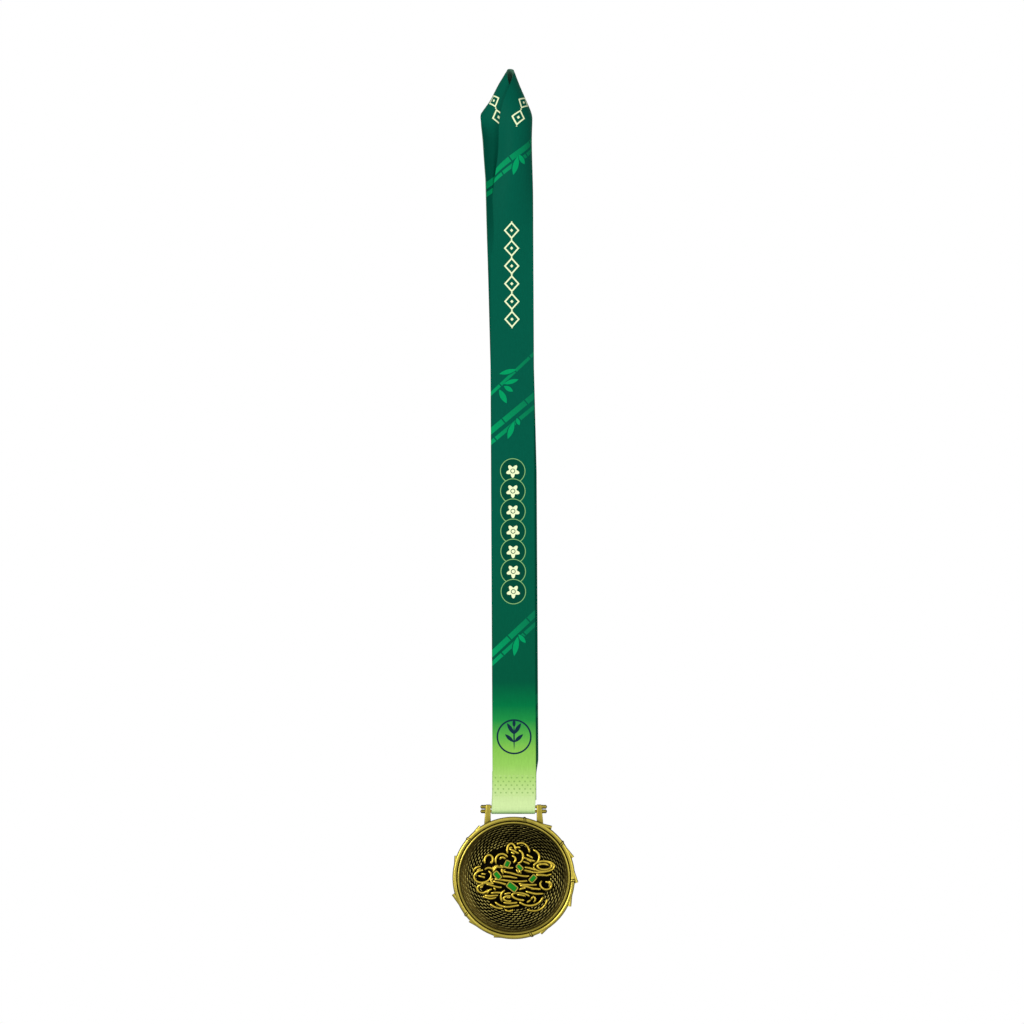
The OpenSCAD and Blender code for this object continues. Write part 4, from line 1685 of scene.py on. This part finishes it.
@dataclass
class Nest:
    """Heap of noodle strands with enamelled scallion slices on it."""

    disc: Disc
    strand: Material
    ground: Material
    cell: Material
    enamel: Material
    width: float = 46.6
    height: float = 39.6
    floor_h: float = -1.7
    mound: float = 1.5
    mound_drop: float = 0.1
    mound_faces: tuple[int, int] = (72, 24)
    ground_share: float = 0.8
    half: float = 0.84
    taper: float = 0.12
    taper_power: int = 6
    bed: float = 0.3
    wave_lift: float = 0.3
    wave_steps: int = 60
    loop_steps: int = 24
    step_turn: int = 6
    dip: float = 0.5
    dip_run: float = 1.8
    sides: int = 12
    cell_h: float = 2.6
    wall: float = 0.5
    cell_floor: float = 0.5
    cell_draft: float = 0.03
    corner: float = 0.4
    fill_gap: float = 0.06
    fill: Span = (-0.6, -0.1)
    fill_round: float = 0.3
    # Middle, half sizes, tilt, first angle, turn, end size and lift of each looped strand.
    loops: tuple[Row, ...] = (
        (-1.4, 15.8, 2.4, 3.7, 0, 220, -230, 1, 0.22), (4.2, 14.4, 4.8, 5.4, 0, 125, -130, 1, 0.1),
        (1.9, 12.0, 3.5, 3.9, 0, 80, -170, 1, 0.3), (-0.8, 10.4, 1.8, 1.9, 0, 110, -200, 1, 0.25),
        (-6.8, 9.8, 3.6, 3.8, 0, 215, -195, 1, 0.22), (-14.4, 10.0, 2.3, 3.0, -15, 240, -280, 1, 0.18),
        (-17.8, 0.7, 5.0, 3.5, 12, 75, 330, 1, 0.18), (-18.6, 3.0, 4.6, 3.4, 0, 185, -95, 1, 0.26),
        (-14.4, 3.6, 2.3, 2.0, 0, 170, -140, 1, 0.3), (-8.4, 3.6, 3.4, 3.6, 0, 185, -85, 1, 0.22),
        (-17.9, -6.5, 3.1, 2.3, 0, 0, -290, 1, 0.18), (-13.2, -8.6, 4.6, 3.5, 0, 218, 100, 1, 0.22),
        (-12.2, -9.6, 3.0, 2.9, 0, 180, -90, 1, 0.26), (-3.4, -11.5, 8.2, 5.4, 0, 205, 105, 1, 0.1),
        (-7.0, -12.4, 7.6, 5.4, 0, 208, 70, 1, 0), (-2.6, -16.6, 3.0, 2.8, 0, 215, 110, 1, 0),
        (9.2, -9.8, 7.8, 6.4, 0, 218, 134, 1, 0.14), (11.4, -12.4, 7.7, 6.9, 0, 238, 125, 1, 0),
        (10.4, -12.5, 2.0, 1.9, 0, 60, -130, 1, 0.22), (4.2, -10.9, 5.2, 2.0, -10, 300, -285, 1, 0.3),
        (-2.8, -12.1, 3.0, 1.5, 0, 305, -245, 1, 0.27), (-3.6, -11.2, 3.8, 4.2, 0, 105, 120, 1, 0.2),
        (9.8, 11.6, 4.9, 4.4, 0, 78, -150, 1, 0.18), (17.2, 6.6, 5.8, 3.0, 0, 200, -460, 0.5, 0.18),
        (17.4, 5.2, 7.4, 4.0, 0, 230, 80, 1, 0.14), (18.6, -4.2, 3.5, 2.9, -15, 140, 300, 0.85, 0.18),
        (-6.4, 9.6, 1.7, 2.0, 0, 170, -160, 1, 0.1), (-18.6, 3.0, 2.6, 2.0, 0, 185, -95, 1, 0.2),
        (-13.6, 9.6, 1.0, 1.2, 0, 250, 130, 1, 0.0), (-17.6, -6.3, 1.5, 1.0, 0, 200, -120, 1, 0.1),
        (19.0, -4.0, 1.7, 1.4, -15, 140, -190, 1, 0.1), (-10.4, 4.2, 1.9, 2.4, 0, 190, -80, 1, 0.1),
        (17.0, 6.7, 2.7, 1.1, 0, 190, -210, 1, 0.18), (-3.0, -11.9, 1.2, 0.5, 0, 200, -200, 1, 0.1),
        (4.4, -10.7, 2.6, 0.7, -10, 190, -190, 1, 0.0), (-2.0, 2.6, 5.4, 2.2, 0, 178, -60, 1, 0.1),
        (2.4, 15.2, 2.0, 2.2, 0, 150, -110, 1, 0.0), (-1.6, 15.6, 0.8, 1.6, 0, 180, -150, 1, 0.0),
        (13.5, 6.5, 9.5, 3.6, 0, 205, 132, 1, 0.12), (17.3, 6.4, 6.0, 3.0, 0, 150, -330, 1, 0.18),
        (-11.5, -1.9, 1.5, 1.35, 0, 80, 200, 1, 0.12))
    # Both ends across, height, slope, swell, number of swells and phase of each wavy strand.
    waves: tuple[Row, ...] = (
        (-6, 9.4, 2.1, -0.13, 0.5, 0.8, 60), (5.2, 12.2, 5.6, -0.24, 0.2, 0.6, 0),
        (-7.2, 2.4, 0.1, -0.09, 0.2, 0.7, 0), (-11.4, 8.4, -1.7, -0.03, 0.5, 0.8, 90),
        (-12.4, -3.6, -5.0, -0.24, 0.2, 0.6, 0), (2.6, 13.6, -2.9, -0.13, 0.4, 0.7, 200),
        (6.6, 17.8, -7.4, -0.13, 0.3, 1.0, 90), (-8.4, 0.2, 5.6, -0.12, 0.3, 0.8, 90),
        (-16.2, -6.4, -6.6, -0.16, 0.3, 0.8, 60), (-6.2, 2.4, -14.5, -0.03, 0.3, 0.6, 180),
        (7.2, 11.2, 17.8, -0.62, 0.15, 0.5, 0), (6.9, 10.6, 14.7, -0.56, 0.15, 0.5, 0),
        (5.2, 9.4, 11.4, -0.4, 0.15, 0.5, 0), (-3.0, 3.4, 15.2, -0.36, 0.3, 0.7, 40),
        (-1.8, 0.6, 13.6, -0.7, 0.1, 0.5, 0), (-20.6, -16.2, -4.6, -0.27, 0.15, 0.5, 0),
        (-19.1, -15.8, 0.2, -0.1, 0.1, 0.5, 0), (-5.8, -1.2, -8.3, 0.26, 0.15, 0.5, 0),
        (-13.4, -6.6, -7.8, 0.1, 0.25, 0.7, 0), (9.4, 15.9, -6.4, -0.02, 0.2, 0.6, 0),
        (2.6, 7.2, -7.9, 0.3, 0.2, 0.5, 0), (1.4, 3.0, 8.0, -2.0, 0.1, 0.5, 0),
        (2.8, 4.4, 9.4, -1.7, 0.1, 0.5, 0), (7.4, 9.9, -20.3, 0.76, 0.1, 0.5, 0),
        (12.4, 20.6, 0.2, 0.06, 0.35, 0.6, 30), (3.2, 13.4, -3.9, -0.2, 0.25, 0.8, 0),
        (5.6, 13.2, 7.0, -0.2, 0.3, 0.7, 0), (-7.4, -5.6, -5.0, -1.4, 0.2, 0.5, 0),
        (-17.0, -8.6, -11.6, -0.1, 0.4, 0.7, 200), (-11.6, -5.4, 6.6, 0.1, 0.4, 0.6, 20),
        (-12.2, -8.7, 19.06, 1.336, 0.25, 0.5, 0), (-6.6, 3.4, -16.4, 0.03, 0.4, 0.6, 210),
        (-7.35, -6.0, -13.2, -2.45, 0.15, 0.5, 0), (-11.6, -10.3, -25.98, -1.77, 0.1, 0.5, 0),
        (-17.9, -16.0, -24.26, -0.763, 0.1, 0.5, 0), (9.6, 11.9, -24.6, 1.2, 0.15, 0.5, 0),
        (-19.4, -11.2, -2.2, 0.08, 0.4, 0.7, 0), (4.8, 12.6, 12.2, -0.2, 0.35, 0.7, 60))
    # Middle, length, width and angle of each slice.
    slices: tuple[Row, ...] = (
        (-3.7, 8.0, 3.2, 2.3, 65), (3.4, 6.0, 3.4, 1.9, -45), (-9.4, 1.4, 4.2, 2.4, -50),
        (11.0, -0.5, 3.8, 2.3, 48), (-0.9, -5.2, 5.6, 3.0, -38))

    def noodle(self, flat: Sequence[Span], lift: float) -> Mesh:
        """Sweeps one noodle over the mound.

        Args:
            flat: Its path seen from the front.
            lift: How far it lies over the lowest strands.

        Returns:
            The mesh.
        """
        path = []
        for x, y in flat:
            rest = 1 - (2 * x / self.width) ** 2 - (2 * y / self.height) ** 2
            bed = self.floor_h + self.mound * math.sqrt(max(0.0, rest)) + self.bed
            gap = min(math.dist((x, y), flat[0]), math.dist((x, y), flat[-1]))
            sunk = self.dip * (1 - smooth(0.0, self.dip_run, gap))
            path.append(Vector((x, y, bed + lift - sunk)))

        def radius(w: float) -> float:
            """Gives the radius, which is a little less at the ends."""
            return self.half * (1 - self.taper * abs(2 * w - 1) ** self.taper_power)

        return tube(path, radius, self.sides)

    def noodles(self) -> list[Mesh]:
        """Sweeps every noodle.

        Returns:
            The meshes.
        """
        made = []
        for cx, cy, rx, ry, tilt, first, turn, shrink, lift in self.loops:
            flat, c, n = [], math.cos(math.radians(tilt)), math.sin(math.radians(tilt))
            steps = self.loop_steps + abs(turn) // self.step_turn
            for k in range(steps + 1):
                a, grow = math.radians(first + turn * k / steps), mix(1, shrink, k / steps)
                px, py = grow * rx * math.cos(a), grow * ry * math.sin(a)
                flat.append((cx + c * px - n * py, cy + n * px + c * py))
            made.append(self.noodle(flat, lift))
        for x0, x1, y, slope, swell, count, phase in self.waves:
            flat = []
            for k in range(self.wave_steps + 1):
                share = k / self.wave_steps
                x = mix(x0, x1, share)
                rise = swell * math.sin(math.radians(phase + 360 * count * share))
                flat.append((x, y + slope * x + rise))
            made.append(self.noodle(flat, self.wave_lift))
        return made

    def block(self, spec: Row, grow: float, low: float, high: float) -> Mesh:
        """Makes the rounded block of one slice.

        Args:
            spec: Place, length, width and angle of the slice.
            grow: Growth over the enamel.
            low: Height of its bottom.
            high: Height of its top.

        Returns:
            The mesh.
        """
        x, y, length, width, angle = spec
        bm = bmesh.new()
        bmesh.ops.create_cube(bm, size=1.0)
        bmesh.ops.scale(bm, vec=(length + 2 * grow, width + 2 * grow, high - low), verts=bm.verts[:])
        upright = [e for e in bm.edges if abs(e.verts[0].co.z - e.verts[1].co.z) > 0.1]
        round_off(bm, upright, self.corner + grow, 4)
        place = Matrix.Translation((x, y, (low + high) / 2)) @ Matrix.Rotation(math.radians(angle), 4, "Z")
        bmesh.ops.transform(bm, matrix=place, verts=bm.verts[:])
        return bm

    def cells(self) -> None:
        """Makes the raised cells and the enamel in them."""
        top = self.floor_h + self.mound + self.cell_h
        parts = []
        for number, spec in enumerate(self.slices, 1):
            bm = self.block(spec, self.wall, self.floor_h, top)
            cap = top_face(bm)
            for rim in (self.wall, self.cell_draft):
                bmesh.ops.inset_region(bm, faces=[cap], thickness=rim)
            bmesh.ops.translate(bm, vec=(0, 0, -self.cell_floor), verts=cap.verts[:])
            parts.append(bm)
            fill = self.block(spec, -self.fill_gap, top + self.fill[0], top + self.fill[1])
            round_off(fill, top_face(fill).edges[:], self.fill_round, 3)
            self.disc.publish(fill, f"scallion_fill_{number}", [self.enamel], Slot.ENAMEL,
                              [f"scallion_enamel_{number}"], 60)
        self.disc.publish(join(parts), "scallion_cells", [self.cell], Slot.BRASS)

    def build(self) -> None:
        """Makes the nest."""
        heap = join(self.noodles())
        self.disc.publish(heap, "noodle_strands", [self.strand], Slot.BRASS, ["noodle_nest"], 80)

        def dome(u: float, w: float) -> Vector:
            """Places a point of the ground from its share round and out.

            Args:
                u: Share round the mound.
                w: Share from its top to its edge.

            Returns:
                The point.
            """
            p = polar(w * self.ground_share / 2, TURN * u, 0)
            rise = (self.mound - self.mound_drop) * math.sqrt(max(0.0, 1 - w * w))
            return Vector((self.width * p.x, self.height * p.y, self.floor_h + rise))

        self.disc.publish(loft(*self.mound_faces, dome), "noodle_mound", [self.ground], Slot.DARK)
        self.cells()


@dataclass
class Studio:
    """White backdrop, soft lamps and the camera of the photo."""

    pixel: float = 0.5747
    middle: Span = (513.7, 72.0)
    frame_px: float = 1024.0
    distance: float = 2.5
    sensor: float = 36.0
    floor_half: float = 0.6
    floor_z: float = -0.625
    aim_z: float = -0.3
    around: Colour = (0.95, 0.97, 1.0, 1.0)
    around_strength: float = 0.42
    # Name, place, size and power of each lamp.
    lamps: tuple[tuple[str, Row, float, float], ...] = (
        ("key", (-1.2, -1.4, 0.0), 0.9, 22.5),
        ("fill", (1.1, -1.3, -0.1), 1.1, 6.5),
        ("low", (0.1, -1.1, -1.2), 0.7, 1.5))

    def camera(self) -> None:
        """Sets the camera so that the render lies over the photo."""
        scale = self.pixel * MM
        data = bpy.data.cameras.new("camera")
        data.sensor_width = self.sensor
        data.lens = self.sensor * self.distance / (self.frame_px * scale)
        data.dof.use_dof = False
        made = put("camera", data)
        made.location = ((self.frame_px / 2 - self.middle[0]) * scale, -self.distance,
                         (self.middle[1] - self.frame_px / 2) * scale)
        made.rotation_euler = (math.pi / 2, 0, 0)
        bpy.context.scene.camera = made

    def floor(self) -> None:
        """Lays a pale floor below the medal."""
        bm = bmesh.new()
        bmesh.ops.create_grid(bm, x_segments=1, y_segments=1, size=self.floor_half)
        bmesh.ops.translate(bm, vec=(0, 0, self.floor_z), verts=bm.verts[:])
        mesh = bpy.data.meshes.new("floor")
        bm.to_mesh(mesh)
        bm.free()
        finish, t = paint("floor_paint")
        t.skin(Base_Color=(0.9, 0.9, 0.9, 1), Roughness=0.8)
        mesh.materials.append(finish)
        put("floor", mesh)

    def light(self) -> None:
        """Sets the lamps and the white surroundings."""
        for name, place, size, power in self.lamps:
            data = bpy.data.lights.new(name, "AREA")
            data.shape = "DISK"
            data.size = size
            data.energy = power
            made = put(name, data)
            made.location = place
            aim = Vector((0, 0, self.aim_z)) - Vector(place)
            made.rotation_euler = aim.to_track_quat("-Z", "Y").to_euler()
        world = bpy.data.worlds.new("studio")
        world.use_nodes = True
        t = Tree(world.node_tree)
        path = t.add("ShaderNodeLightPath", {})
        camera, glossy, through = (Signal(t, path.outputs[f"Is {kind} Ray"])
                                   for kind in ("Camera", "Glossy", "Transmission"))
        seen = t.math("MAXIMUM", camera, t.math("MAXIMUM", glossy, through))
        dim = t.first("ShaderNodeBackground", {"Color": self.around, "Strength": self.around_strength})
        white = t.first("ShaderNodeBackground", {"Color": (1, 1, 1, 1)})
        blend = t.first("ShaderNodeMixShader", {0: seen, 1: dim, 2: white})
        t.add("ShaderNodeOutputWorld", {0: blend})
        bpy.context.scene.world = world

    def build(self) -> None:
        """Sets the stage."""
        bpy.context.scene.view_settings.view_transform = "Standard"
        self.floor()
        self.light()
        self.camera()


def main() -> None:
    """Builds the looks of the medal."""
    patina = Patina().build()
    bright, deep = srgb(176, 160, 68), srgb(24, 18, 4)
    brass = AntiqueMetal("antique_brass", bright, deep).material(patina)
    # Painted shade on the inner flank of the inner hoop, darker towards the basket.
    lip = AntiqueMetal("lip_brass_painted_shade", bright, deep, shade=(0.0321, 0.0312)).material(patina)
    gold = AntiqueMetal("noodle_brass", srgb(192, 167, 60), srgb(10, 8, 3), 0.6, 1.04).material(patina)
    # Painted shade on the weave: the grains darken towards the wall of the basket, more at the top and less
    # at the sides, as light falls.
    grain = AntiqueMetal("weave_brass_painted_shade", srgb(174, 160, 84), srgb(10, 8, 4), 0.68, 1.06, 0.32,
                         (0.0170, 0.0285), (-0.0014, -0.4667), (0.84, 1.0)).material(patina)
    post = AntiqueMetal("hanger_brass", srgb(158, 144, 60), srgb(22, 17, 4), 0.46, 1.02,
                        0.32).material(patina)
    shade = AntiqueMetal("node_shade", srgb(22, 17, 6), srgb(8, 6, 2), roughness=0.42).material(patina)
    ground = BasketGround().material()
    enamel = PlainGloss("scallion_enamel", srgb(0, 100, 12), srgb(0, 146, 24), 0.26, 0.04,
                        700.0).material()
    thread = PlainGloss("pale_thread", srgb(188, 214, 140), srgb(206, 230, 160), 0.75, 0.0,
                        4000.0).material()
    motifs = Motifs().build()
    cloth = RibbonPrint()
    disc = Disc()
    Ribbon(cloth.material(motifs, False), cloth.material(motifs, True)).build()
    Seam(thread).build()
    Basket(disc, ground, grain, brass).build()
    Rim(disc, brass, lip, shade).build()
    Hanger(post).build()
    Nest(disc, gold, ground, brass, enamel).build()
    Studio().build()


if __name__ == "__main__":
    main()
